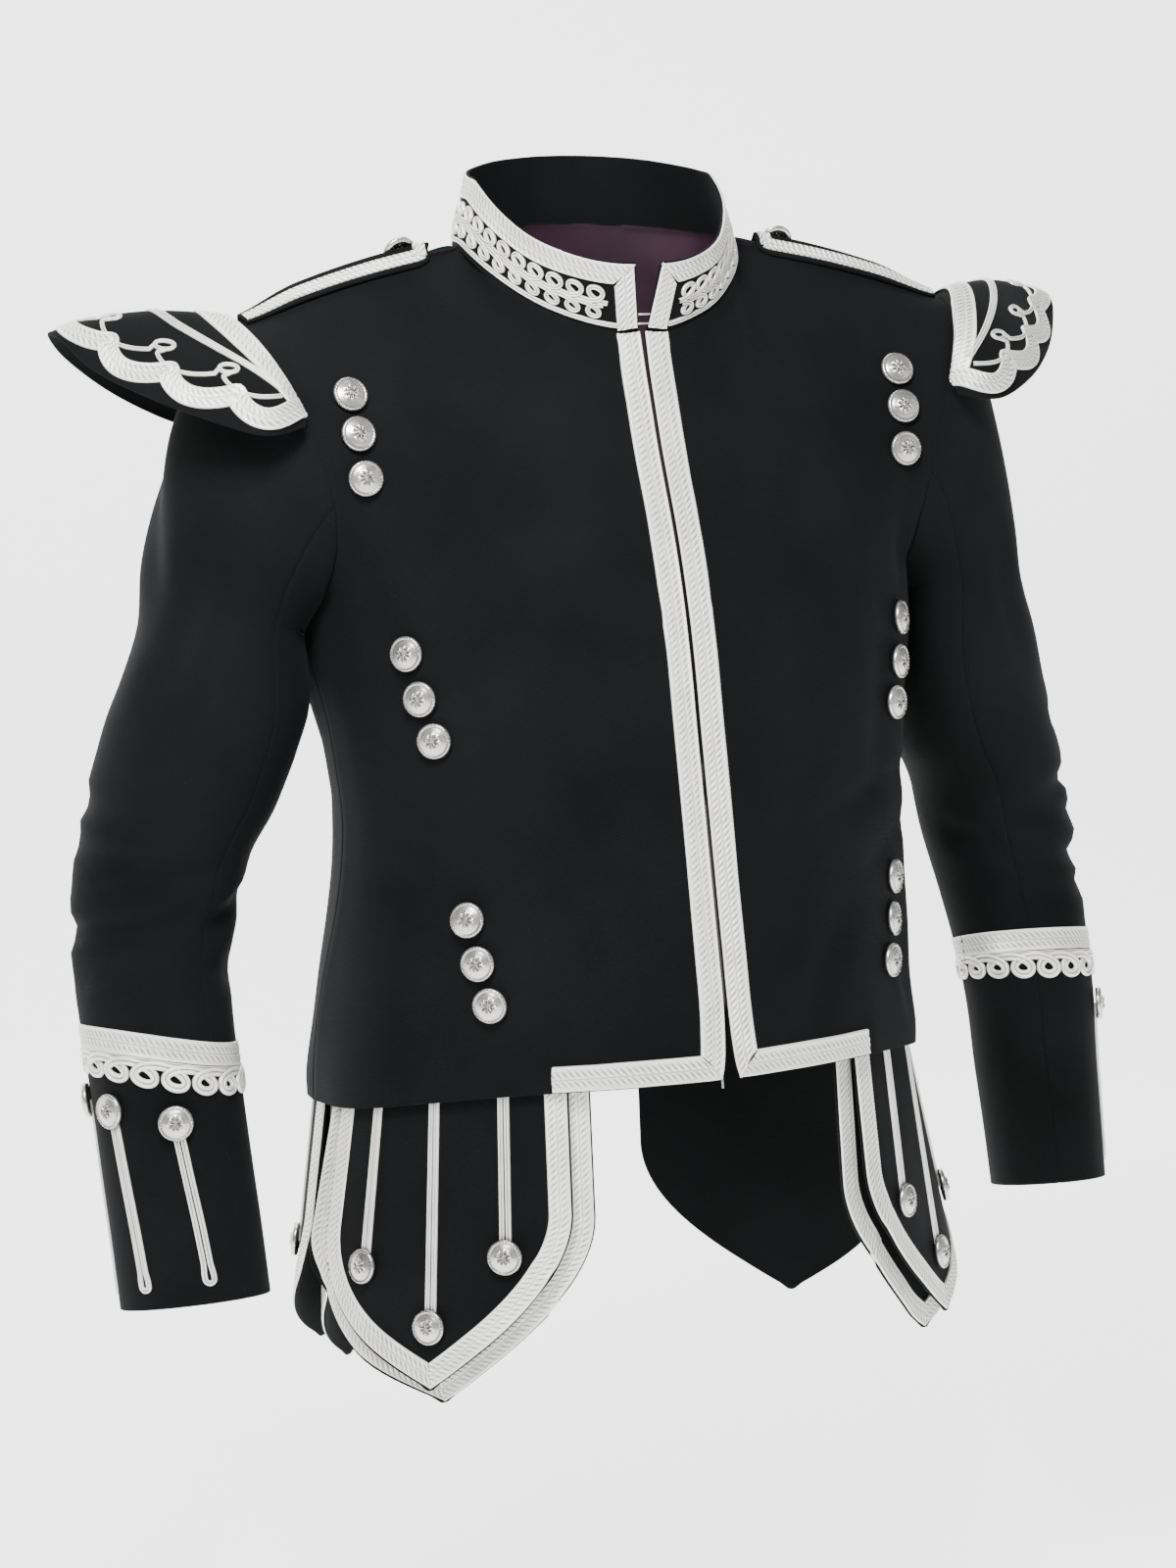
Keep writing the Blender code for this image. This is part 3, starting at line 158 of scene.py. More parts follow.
def between(start, leave, end, arrive, f):
    """A smooth step from start, f = 0, to end, f = 1, with the directions to leave and to arrive by."""
    f2, f3 = f * f, f * f * f
    return ((2 * f3 - 3 * f2 + 1) * start + (f3 - 2 * f2 + f) * leave
            + (3 * f2 - 2 * f3) * end + (f3 - f2) * arrive)


def run_along(points):
    """The length along a line of points up to each of them."""
    return np.concatenate(([0.0], np.cumsum(np.linalg.norm(np.diff(points, axis=0), axis=1))))


def hermite(points, t, closed=False):
    """A smooth curve through points, read at t, where t counts the points."""
    points = np.asarray(points, float)
    count = len(points)
    if closed:
        i = int(math.floor(t)) % count
        f = t - math.floor(t)
        pick = lambda k: points[k % count]
    else:
        i = int(min(max(math.floor(t), 0), count - 2))
        f = t - i
        pick = lambda k: points[min(max(k, 0), count - 1)]
    p0, p1, p2, p3 = pick(i - 1), pick(i), pick(i + 1), pick(i + 2)
    return between(p1, (p2 - p0) / 2.0, p2, (p3 - p1) / 2.0, f)


def by_height(table, z):
    """The other columns of a table whose first column is a rising height, at height z."""
    heights = [row[0] for row in table]
    z = min(max(z, heights[0]), heights[-1])
    k = 0
    while k < len(heights) - 2 and z > heights[k + 1]:
        k += 1
    t = k + (z - heights[k]) / (heights[k + 1] - heights[k])
    return hermite([row[1:] for row in table], t)


# ---- torso --------------------------------------------------------------------------
def armhole(t):
    """A point of the armhole seam at x > 0; t counts the rows of ARMHOLE, from the shoulder tip."""
    return hermite(ARMHOLE, t, closed=True)


def section(z):
    return by_height(SECTIONS, z)


def half_gap(z):
    return float(by_height(OPENING, z)[0])


def neckline(angle):
    """Neck seam point; angle 0 is the centre front and 180 degrees the centre back."""
    s, c = math.sin(angle), math.cos(angle)
    if c >= 0.0:
        return np.array((NECK_HALF_WIDTH * s, -NECK_FRONT * c, -NECK_FRONT_DROP * abs(c) ** 1.3))
    return np.array((NECK_HALF_WIDTH * s, -NECK_BACK * c, NECK_BACK_RISE * abs(c) ** 1.3))


NECK_SHARE = 0.385        # share of a panel's width that ends at the neck
SHOULDER_ARCH = 0.005     # how far the shoulder seam is arched between the neck and the tip


def top_edge(s, front):
    """Upper edge of a half panel, from the centre (s = 0) round the neck to the shoulder tip."""
    if s < NECK_SHARE:
        quarter = 0.5 * math.pi * s / NECK_SHARE
        return neckline(quarter if front else math.pi - quarter)
    f = (s - NECK_SHARE) / (1.0 - NECK_SHARE)
    side = neckline(0.5 * math.pi)
    tip = armhole(0.0)
    point = side + (tip - side) * f
    point[2] += SHOULDER_ARCH * math.sin(math.pi * f)
    return point


PIT_SHARE = 0.40          # share of a panel's rows that end at the armhole
ARM_ARC = 58.0            # degrees of a quarter turn that a row covers beside the armhole
FADE = 0.42               # share of the rows over which the top edge's shape fades out
PIT_BLEND = 0.06          # height over which the side edge passes from the armhole into the sections


def centre_z(v, front):
    top = -NECK_FRONT_DROP if front else NECK_BACK_RISE
    low = HEM_FRONT if front else HEM_BACK
    return top + (low - top) * v


def side_edge(v, front):
    """Outer edge of a half panel: down the armhole, then down the side seam."""
    if v <= PIT_SHARE:
        f = v / PIT_SHARE
        count = len(ARMHOLE)
        return armhole(PIT_ROW * f if front else count - (count - PIT_ROW) * f)
    pit = armhole(float(PIT_ROW))
    z = pit[2] + (HEM_SIDE - pit[2]) * (v - PIT_SHARE) / (1.0 - PIT_SHARE)
    row = section(z)
    blend = smooth((pit[2] - z) / PIT_BLEND)
    x = pit[0] * (1 - blend) + row[0] * blend
    y = pit[1] * (1 - blend) + row[3] * blend
    return np.array((x, y, z))


def row_point(s, v, front):
    """A point on the curved row that runs from the centre to the outer edge."""
    zc = centre_z(v, front)
    _, ahead, behind, _, roundness = section(zc)
    edge = side_edge(v, front)
    depth = -ahead if front else behind
    reach = math.radians(ARM_ARC + (90.0 - ARM_ARC) * smooth((v - 0.5 * PIT_SHARE) / (0.6 * PIT_SHARE)))
    angle = reach * s
    across = (math.sin(angle) / math.sin(reach)) ** (2.0 / roundness)
    end = math.cos(reach)
    along = max((math.cos(angle) - end) / (1.0 - end), 0.0) ** (2.0 / roundness)
    x = edge[0] * across
    y = edge[1] + (depth - edge[1]) * along
    z = zc + (edge[2] - zc) * across ** (1.5 + 3.0 * v ** 4)
    return np.array((x, y, z))


def torso_point(s, v, front):
    """A point of the outer face of a half panel at x >= 0."""
    point = row_point(s, v, front)
    if v < FADE:
        point = point + (top_edge(s, front) - row_point(s, 0.0, front)) * (1.0 - smooth(v / FADE))
    if front:
        gap = half_gap(point[2])
        point[0] = point[0] + gap * (1.0 - s)
    return point


PANEL_ROWS = 18           # the last row of the front is the hem braid
NECK_COLS = 4             # the first column of the front is the edge braid
SHOULDER_COLS = 5
PIT_ROWS = 8              # rows of the panel that end at the armhole, half the ring of a sleeve
HEM_SPREAD = 0.29         # how much further out the columns run at the hem; one ends its braid
RELAX_ROUNDS = 3


def row_values():
    """Places of a panel's rows, 0 at the neck and shoulder and 1 at the hem."""
    last = 1.0 - BRAID_WIDTH / (-NECK_FRONT_DROP - HEM_FRONT)
    upper = [PIT_SHARE * r / PIT_ROWS for r in range(PIT_ROWS)]
    rest = PANEL_ROWS - 1 - PIT_ROWS
    lower = [PIT_SHARE + (last - PIT_SHARE) * r / rest for r in range(rest + 1)]
    return upper + lower + [1.0]


def column_values(front, v):
    """Places of a panel's columns, 0 at the centre and 1 at the outer edge."""
    shoulder = [NECK_SHARE + (1.0 - NECK_SHARE) * k / SHOULDER_COLS for k in range(SHOULDER_COLS + 1)]
    if not front:
        return [NECK_SHARE * k / NECK_COLS for k in range(NECK_COLS)] + shoulder
    centre = torso_point(0.0, v, True)
    edge = 0.01
    for _ in range(6):
        edge *= BRAID_WIDTH / float(np.linalg.norm(torso_point(edge, v, True) - centre))
    rest = NECK_COLS - 1
    spread = 1.0 + HEM_SPREAD * smooth((v - PIT_SHARE) / (1.0 - PIT_SHARE))
    return [0.0] + [edge + (NECK_SHARE - edge) * spread * k / rest for k in range(rest)] + shoulder


def relaxed(points, rounds, keep):
    """The grid with its inner points drawn to the middle of their neighbours."""
    points = points.copy()
    for _ in range(rounds):
        middle = 0.25 * (points[:-2, 1:-1] + points[2:, 1:-1] + points[1:-1, :-2] + points[1:-1, 2:])
        share = np.full(middle.shape, 0.5)
        for k in keep:
            share[:, k - 1] = 0.0
        share[-1:] = 0.0
        points[1:-1, 1:-1] += (middle - points[1:-1, 1:-1]) * share
    return points


def torso_sheet(front):
    """The coarse outer face of a half panel at x >= 0, drawn in by half a seam at its outer edges."""
    points = np.array([[torso_point(s, v, front) for s in column_values(front, v)] for v in row_values()])
    points = relaxed(points, RELAX_ROUNDS, (1,) if front else ())
    inward = unit(points[:, -2] - points[:, -1])
    points[:, -1] += inward * 0.5 * SEAM_GAP
    points[0] += unit(points[1] - points[0]) * 0.5 * SEAM_GAP
    return points


FRONT = torso_sheet(True)
BACK = torso_sheet(False)



# ---- collar -------------------------------------------------------------------------
COLLAR_GAP_WIDENS = 0.005 # how much further the corners stand apart than the collar's foot
COLLAR_START = 0.035      # radians from the centre front to the collar's end
COLLAR_SEAM = 0.0012      # the collar's foot above the neck seam
COLLAR_LEAN_FRONT = 0.014
COLLAR_LEAN_SIDE = -0.012
COLLAR_LEAN_BACK = -0.004
COLLAR_LOOPS = 22         # loops of the braid along the collar
COLLAR_COLS = 2 * COLLAR_LOOPS


def collar_point(along, up):
    """A point of the collar's outer face; along -1..1 from the right front end to the left one."""
    angle = math.pi - (math.pi - COLLAR_START) * abs(along)
    side = 1.0 if along >= 0.0 else -1.0
    base = neckline(angle)
    c = math.cos(angle)
    lean = COLLAR_LEAN_SIDE + (COLLAR_LEAN_FRONT - COLLAR_LEAN_SIDE) * max(c, 0.0) ** 2
    lean += (COLLAR_LEAN_BACK - COLLAR_LEAN_SIDE) * max(-c, 0.0) ** 2
    outward = unit(np.array((base[0], base[1], 0.0)))
    point = base + outward * lean * up
    point[2] += COLLAR_SEAM + COLLAR_HEIGHT * up
    point[0] += COLLAR_GAP_WIDENS * up * max(c, 0.0) ** 8
    point[0] *= side
    return point


# ---- sleeves ------------------------------------------------------------------------
SLEEVE_AROUND = 16        # points round the sleeve
UNDER_POINTS = 6          # cells of the ring that belong to the under sleeve
SLEEVE_ROWS = 16
HEAD_ROWS = 6             # rows between the armhole and the first section
TURN_UNIT = 30.0          # degrees of extra turn at the cuff for which a section's turn doubles
SLOPE_REACH = 0.03        # height over which the arm's direction is taken


def ring_point(row, psi, turn_extra):
    """A point of a sleeve ring; psi 0 is the outer side, 90 degrees the front."""
    x, y, z, half_side, half_deep, turn = row
    path = sleeve_slope(z)
    out = unit(np.array((1.0, 0.0, path[0])))
    ahead = unit(np.array((0.0, -1.0, -path[1])))
    spin = math.radians(turn * (1.0 + turn_extra / TURN_UNIT))
    u = out * math.cos(spin) + ahead * math.sin(spin)
    w = ahead * math.cos(spin) - out * math.sin(spin)
    phase = psi - spin
    return np.array((x, y, z)) + u * half_side * math.cos(phase) + w * half_deep * math.sin(phase)


def sleeve_row(z):
    """Columns of the sleeve table at height z."""
    rising = [(row[2], row[0], row[1], *row[3:]) for row in reversed(SLEEVE)]
    x, y, half_side, half_deep, turn = by_height(rising, z)
    return (x, y, z, half_side, half_deep, turn)


def sleeve_slope(z):
    """How far the arm's middle moves along X and Y for each unit of height."""
    high = sleeve_row(min(z + SLOPE_REACH, SLEEVE[0][2]))
    low = sleeve_row(max(z - SLOPE_REACH, SLEEVE[-1][2]))
    rise = high[2] - low[2]
    return (low[0] - high[0]) / rise, (low[1] - high[1]) / rise


def armhole_ring(psi):
    """The armhole seam as a ring: psi 0 is the shoulder tip, 90 degrees the front."""
    turn = (psi / (2.0 * math.pi)) % 1.0
    count = len(ARMHOLE)
    if turn <= 0.5:
        return armhole(PIT_ROW * turn * 2.0)
    return armhole(PIT_ROW + (count - PIT_ROW) * (turn - 0.5) * 2.0)


def sleeve_point(psi, v, turn_extra):
    """A point of the sleeve's outer face at x > 0; v 0 is the armhole and 1 the cuff."""
    head = HEAD_ROWS / SLEEVE_ROWS
    if v >= head:
        z = SLEEVE[0][2] + (SLEEVE[-1][2] - SLEEVE[0][2]) * (v - head) / (1.0 - head)
        return ring_point(sleeve_row(z), psi, turn_extra)
    f = v / head
    start = armhole_ring(psi)
    end = ring_point(sleeve_row(SLEEVE[0][2]), psi, turn_extra)
    crown = 0.5 + 0.5 * math.cos(psi)
    leave = np.array((0.075 * crown + 0.012, 0.014 * crown, -0.034 * crown - 0.008))
    arrive = np.array((0.014 * crown, 0.004, -0.020 - 0.210 * crown))
    return between(start, leave, end, arrive, f)


# ---- wings --------------------------------------------------------------------------
# Outer edge of the wing, from its front tip to its back tip.
WING_EDGE_COLUMNS = ("x", "y", "z")
WING_EDGE = (
    (0.231, -0.071, -0.112),
    (0.262, -0.077, -0.117),
    (0.296, -0.061, -0.105),
    (0.326, -0.032, -0.089),
    (0.350, 0.000, -0.071),
    (0.364, 0.026, -0.050),
    (0.364, 0.054, -0.047),
    (0.345, 0.082, -0.063),
    (0.308, 0.100, -0.088),
    (0.266, 0.098, -0.109),
    (0.232, 0.082, -0.115),
)
WING_CROWN = 0.010        # how far the wing is arched between its two edges
WING_RISE = 0.0042        # from the armhole seam up to the wing
WING_COLS = 32            # cells of the wing's form along it, and out from the seam
WING_ROWS = 8
WING_LIMIT = 0.97         # share of the edge line that the wing takes up
WING_FAN = 1.55           # how much longer the wing's outer edge is than the line of its eyes
WING_LOBES = 7            # scallops of the braid along the outer edge
WING_SEAM_FRONT = 2.05    # place of the front tip on the armhole, in rows of ARMHOLE
WING_SEAM_BACK = 1.45


def wing_point(along, out):
    """A point of the wing's upper face; along -1..1 front to back, out 0..1 seam to edge."""
    if along <= 0.0:
        seam = armhole(-along * WING_SEAM_FRONT)
    else:
        seam = armhole(len(ARMHOLE) - along * WING_SEAM_BACK)
    radial = unit(np.array((0.35, seam[1] * 14.0, 1.0)))
    seam = seam + radial * WING_RISE
    edge = hermite(WING_EDGE, (along + 1.0) * 0.5 * (len(WING_EDGE) - 1))
    point = seam + (edge - seam) * out
    away = unit(np.array((0.25, point[1] * 12.0, 1.0)))
    return point + away * WING_CROWN * 4.0 * out * (1.0 - out) * (1.0 - along ** 6)


# ---- shoulder straps ----------------------------------------------------------------
STRAP_ROUND = 0.146       # share of the strap's length over which its end is rounded
STRAP_PAD = 0.0034        # how far the strap stands off the shoulder along its middle
STRAP_THICK = 0.0024
STRAP_EDGE_STAND = 0.0024 # how far its edges stand off the shoulder
STRAP_ROWS = 8            # cells of its form across it
STRAP_COLS = (3, 19)      # columns of its form from its squared neck end to the shoulder tip
STRAP_BRAID_ROW = 1.15    # row and columns of the braid along its edge
STRAP_BRAID_COLS = (18.9, 4.3)
STRAP_BRAID_HALF = 0.0042
STRAP_END_COL = 4.7       # column and rows of the braid across its neck end
STRAP_END_ROWS = (0.9, 7.1)
STRAP_BUTTON = (7.0, 4.0) # column and row of its button


# ---- hem flaps ----------------------------------------------------------------------
FLAP_COLUMNS = ("name", "centre", "half_width", "flare share")
FLAPS = (("front", 0.199, 0.110, 0.8), ("back", 0.423, 0.110, 1.05))
FLAP_INSET_OVER = 0.0056  # flap's face inside the outer face of the hem
FLAP_INSET_UNDER = 0.0106
FLAP_TOP = 0.010          # how far the flaps reach up behind the hem
FLAP_ARCH = 0.42          # where the straight sides end, down the flap
FLAP_FLARE_FRONT = 0.014
FLAP_FLARE_SIDE = 0.030
FLAP_UNDER_FLARE = 0.35   # share of the flare that the under flap takes
FLAP_BRAID = 0.0150
FLAP_CORDS = ((-0.64, 0.104), (0.0, 0.146), (0.64, 0.104))   # across, as a share, and button height


def flap_width(fall):
    """Half width of the shield shape as a share, by the share of its length."""
    if fall <= FLAP_ARCH:
        return 1.0
    return max(1.0 - ((fall - FLAP_ARCH) / (1.0 - FLAP_ARCH)) ** 1.9, 0.02)


# ---- cuffs --------------------------------------------------------------------------
CUFF_TOP = -0.503         # height of the upper edge of the cuff braid
CUFF_GIRTH = 0.0475       # mean radius that the braid is laid out on
CUFF_FIRST = {"r": -28.0, "l": -68.0}   # degrees round the sleeve of the first button
CUFF_STEP = 51.0
CUFF_BUTTON_DOWN = 0.0505
CUFF_BAR_END = 0.165


# ---- dense faces --------------------------------------------------------------------
def cubic_shares(f):
    """Shares of the four points round a place in a smooth curve, f from the second to the third."""
    f2, f3 = f * f, f * f * f
    return ((-f3 + 2 * f2 - f) / 2, (3 * f3 - 5 * f2 + 2) / 2, (-3 * f3 + 4 * f2 + f) / 2, (f3 - f2) / 2)


class Form:
    """A smooth face through a coarse grid of points, read at rows and columns."""

    def __init__(self, points, wrap=False):
        self.rows, self.cols = points.shape[:2]
        self.wrap = wrap
        grid = np.concatenate((2 * points[:1] - points[1:2], points, 2 * points[-1:] - points[-2:-1]))
        if wrap:
            grid = np.concatenate((grid[:, -1:], grid, grid[:, :2]), axis=1)
        else:
            before = 2 * grid[:, :1] - grid[:, 1:2]
            grid = np.concatenate((before, grid, 2 * grid[:, -1:] - grid[:, -2:-1]), axis=1)
        self.grid = grid

    def at(self, row, col):
        row = np.clip(row, 0.0, self.rows - 1.0)
        col = np.mod(col, self.cols) if self.wrap else np.clip(col, 0.0, self.cols - 1.0)
        r = np.minimum(row.astype(int), self.rows - 2)
        c = np.minimum(col.astype(int), self.cols - (1 if self.wrap else 2))
        down, over = cubic_shares(row - r), cubic_shares(col - c)
        total = 0.0
        for i in range(4):
            for j in range(4):
                total = total + self.grid[r + i, c + j] * (down[i] * over[j])[..., None]
        return total


KNOT_NEAR = 0.03          # the close place at both ends of a row of knots


def knots(first, last, per):
    """Places from first to last, per for each unit, with close ones at both ends for the edges."""
    count = max(int(round((last - first) * per)), 2)
    inner = np.linspace(first, last, count + 1)
    return np.concatenate(([first, first + KNOT_NEAR], inner[1:-1], [last - KNOT_NEAR, last]))


def grid_normals(points):
    """Unit normals of a grid, to the right of down and across."""
    return unit(np.cross(np.gradient(points, axis=0), np.gradient(points, axis=1)))


class Face:
    """The outer face of a piece as a dense grid, read at the rows and columns of its form."""

    def __init__(self, rows, cols, points, towards, folds=None):
        self.rows, self.cols = rows, cols
        normals = grid_normals(points)
        if float(np.einsum("ijk,ijk->", normals, towards(points))) < 0.0:
            normals = -normals
        if folds is not None:
            lifted = points + normals * folds(points)[..., None]
            turned = grid_normals(lifted)
            facing = np.sign(np.einsum("ijk,ijk->", turned, normals))
            points, normals = lifted, turned * facing
        self.points, self.normals = points, normals

    def mirrored(self, side):
        """The same face on the wearer's left (side 1) or right (side -1)."""
        other = Face.__new__(Face)
        other.rows, other.cols = self.rows, self.cols
        flip = np.array((side, 1.0, 1.0))
        other.points, other.normals = self.points * flip, self.normals * flip
        return other

    def at(self, row, col):
        row, col = np.broadcast_arrays(np.asarray(row, float), np.asarray(col, float))
        i = np.clip(np.searchsorted(self.rows, row, side="right") - 1, 0, len(self.rows) - 2)
        j = np.clip(np.searchsorted(self.cols, col, side="right") - 1, 0, len(self.cols) - 2)
        f = np.clip((row - self.rows[i]) / (self.rows[i + 1] - self.rows[i]), -1.0, 2.0)[..., None]
        g = np.clip((col - self.cols[j]) / (self.cols[j + 1] - self.cols[j]), -1.0, 2.0)[..., None]

        def read(grid):
            upper = grid[i, j] * (1 - g) + grid[i, j + 1] * g
            lower = grid[i + 1, j] * (1 - g) + grid[i + 1, j + 1] * g
            return upper * (1 - f) + lower * f

        return read(self.points), unit(read(self.normals))


def dense(form, rows, cols, towards, folds=None):
    """A dense face of a form over rows and columns."""
    row, col = np.meshgrid(rows, cols, indexing="ij")
    return Face(rows, cols, form.at(row, col), towards, folds)


def link_mesh(name, points, quads, uv, slots, index):
    """A smooth mesh of quads that rides on the body and stands for the CAD node of its name."""
    mesh = bpy.data.meshes.new(name)
    mesh.vertices.add(len(points))
    mesh.vertices.foreach_set("co", np.asarray(points, np.float32).ravel())
    mesh.loops.add(4 * len(quads))
    mesh.loops.foreach_set("vertex_index", quads.astype(np.int32).ravel())
    mesh.polygons.add(len(quads))
    mesh.polygons.foreach_set("loop_start", np.arange(0, 4 * len(quads), 4, dtype=np.int32))
    mesh.polygons.foreach_set("material_index", np.asarray(index, np.int32))
    layer = mesh.uv_layers.new(name="metres")
    layer.data.foreach_set("uv", np.asarray(uv, np.float32)[quads.ravel()].ravel())
    for slot in slots:
        mesh.materials.append(slot)
    mesh.update(calc_edges=True)
    mesh.shade_smooth()
    obj = bpy.data.objects.new(name + "_look", mesh)
    bpy.context.scene.collection.objects.link(obj)
    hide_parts(name)
    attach(obj, "root")
    return obj


def lengths_of(points):
    """Mean length along the rows and down the columns of a grid, as running sums."""
    across = np.linalg.norm(np.diff(points, axis=1), axis=2).mean(axis=0)
    down = np.linalg.norm(np.diff(points, axis=0), axis=2).mean(axis=1)
    return np.concatenate(([0.0], np.cumsum(across))), np.concatenate(([0.0], np.cumsum(down)))


def grid_quads(rows, cols, start=0):
    """Quads of a grid of points numbered row by row."""
    k = np.arange(rows * cols).reshape(rows, cols) + start
    return np.stack((k[:-1, :-1], k[:-1, 1:], k[1:, 1:], k[1:, :-1]), axis=-1).reshape(-1, 4)


def facing_out(points, normals, quads):
    """The quads turned so that they face along the normals."""
    a, b, c = points[quads[:, 0]], points[quads[:, 1]], points[quads[:, 2]]
    side = np.einsum("ij,ij->", np.cross(b - a, c - a), normals[quads[:, 0]])
    return quads if side > 0 else quads[:, ::-1]


def shell(name, face, outer_mat, inner_mat, thick=CLOTH):
    """A closed cloth shell with round edges; the inner side may have its own material."""
    rows, cols = face.points.shape[:2]
    outer = face.points.reshape(-1, 3)
    normals = face.normals.reshape(-1, 3)
    inner = outer - normals * thick
    count = rows * cols
    u, v = lengths_of(face.points)
    flat = np.stack(np.meshgrid(u, v), axis=-1).reshape(-1, 2)
    quads = grid_quads(rows, cols)
    front = facing_out(outer, normals, quads)
    back = front[:, ::-1] + count
    k = np.arange(count).reshape(rows, cols)
    loop = np.concatenate((k[0, :-1], k[:-1, -1], k[-1, :0:-1], k[:0:-1, 0]))
    near = np.concatenate((k[1, :-1], k[:-1, -2], k[-2, :0:-1], k[:0:-1, 1]))
    away = unit(outer[loop] - outer[near])
    middle = (outer[loop] + inner[loop]) * 0.5 + away * 0.25 * thick
    n = len(loop)
    ring = np.arange(n)
    after = (ring + 1) % n
    base = 2 * count
    rim = np.stack((loop, loop[after], base + after, base + ring), axis=-1)
    low = np.stack((base + ring, base + after, loop[after] + count, loop + count), axis=-1)
    points = np.concatenate((outer, inner, middle))
    side = np.concatenate((rim, low))
    a, b, c = points[side[:, 0]], points[side[:, 1]], points[side[:, 2]]
    if np.einsum("ij,ij->", np.cross(b - a, c - a), np.tile(away, (2, 1))) < 0:
        side = side[:, ::-1]
    uv = np.concatenate((flat, flat, flat[loop]))
    quads = np.concatenate((front, back, side))
    index = np.concatenate((np.zeros(len(front)), np.ones(len(back)), np.zeros(len(side))))
    return link_mesh(name, points, quads, uv, (outer_mat, inner_mat), index)


WIDE_BRAID, NARROW_CORD, METAL = range(3)   # the three materials of a relief, in their order


class Relief:
    """Raised strips and buttons gathered into one mesh."""

    def __init__(self):
        self.points, self.quads, self.uv, self.index = [], [], [], []
        self.count = 0

    def grid(self, points, normals, u, v, index):
        rows, cols = points.shape[:2]
        flat = points.reshape(-1, 3)
        quads = facing_out(flat, normals.reshape(-1, 3), grid_quads(rows, cols))
        self.points.append(flat)
        self.quads.append(quads + self.count)
        flat_u = np.broadcast_to(u, (rows, cols))
        flat_v = np.broadcast_to(v, (rows, cols))
        self.uv.append(np.stack((flat_u, flat_v), axis=-1).reshape(-1, 2))
        self.index.append(np.full(len(quads), index))
        self.count += len(flat)

    def make(self, name):
        return link_mesh(name, np.concatenate(self.points), np.concatenate(self.quads),
                         np.concatenate(self.uv), (SILVER_BRAID, SILVER_CORD, SILVER_METAL),
                         np.concatenate(self.index))


# ---- braid, cord and buttons --------------------------------------------------------
BRAID_STEP = 0.00062      # length of a mesh cell along the braid
BRAID_HEIGHT = 0.0014
BRAID_PITCH = 0.0042      # from one slanted rib to the next
BRAID_SLANT = 0.9         # lean of the ribs, along for each unit across
BRAID_LANES = 0.80        # share of the half width taken up by a lane; its selvedge is outside
BRAID_PICK = 0.0026       # from one rib of the selvedge to the next
DIRECTION_REACH = 0.0015  # how far ahead and behind a strip's direction is taken
MOVE_SHARE = 0.4          # the most by which one correction changes a move across a strip
CELL_EPS = 0.02           # small step in rows or columns, for faces that are read by them
CORD_ASIDE = 0.0021       # each cord of a bar from the bar's middle
BAR_CORD_HALF = 0.00195
ON_CORD = 0.0014          # a button above the cloth where it sits on a cord bar
BRAID_ACROSS = np.array((-1, -0.94, -0.84, -0.76, -0.5, -0.26, -0.05, 0.05, 0.26, 0.5, 0.76, 0.84, 0.94, 1))
CORD_ACROSS = np.array((-1, -0.86, -0.5, -0.14, 0, 0.14, 0.5, 0.86, 1))


def braid_height(s, w, half):
    """Raised figure of the wide braid: two lanes of slanted ribs between ribbed selvedges."""
    edge = np.abs(w)
    lane = np.clip(edge / BRAID_LANES, 0.0, 1.0)
    dome = np.sqrt(np.clip(1.0 - (2.0 * lane - 1.0) ** 2, 0.0, 1.0))
    phase = (s + w * half * BRAID_SLANT) / BRAID_PITCH + 0.5 * (w > 0)
    rib = (0.5 + 0.5 * np.cos(2.0 * math.pi * phase)) ** 0.8
    inner = 0.34 + dome * (0.12 + 0.54 * rib)
    selvedge = 0.80 + 0.10 * np.cos(2.0 * math.pi * s / BRAID_PICK)
    height = np.where(edge < BRAID_LANES, inner, selvedge)
    return BRAID_HEIGHT * np.where(edge > 0.99, -0.25, height)


def resampled(place, path, step):
    """Flat places along a path at an even step in metres, and their lengths."""
    path = np.asarray(path, float)
    fine = np.linspace(0.0, len(path) - 1.0, (len(path) - 1) * 8 + 1)
    a = np.interp(fine, np.arange(len(path)), path[:, 0])
    b = np.interp(fine, np.arange(len(path)), path[:, 1])
    points = place(a, b)[0]
    run = run_along(points)
    keep = np.concatenate(([True], np.diff(run) > 1e-9))
    a, b, run = a[keep], b[keep], run[keep]
    count = max(int(run[-1] / step), 4)
    return a, b, run, np.linspace(0.0, run[-1], count + 1)


def read_path(a, b, run, s):
    """Flat places at lengths s, carried on straight past both ends."""
    out = []
    for c in (a, b):
        value = np.interp(s, run, c)
        value = value + np.where(s < 0.0, s * (c[1] - c[0]) / (run[1] - run[0]), 0.0)
        over = s - run[-1]
        value = value + np.where(over > 0.0, over * (c[-1] - c[-2]) / (run[-1] - run[-2]), 0.0)
        out.append(value)
    return out


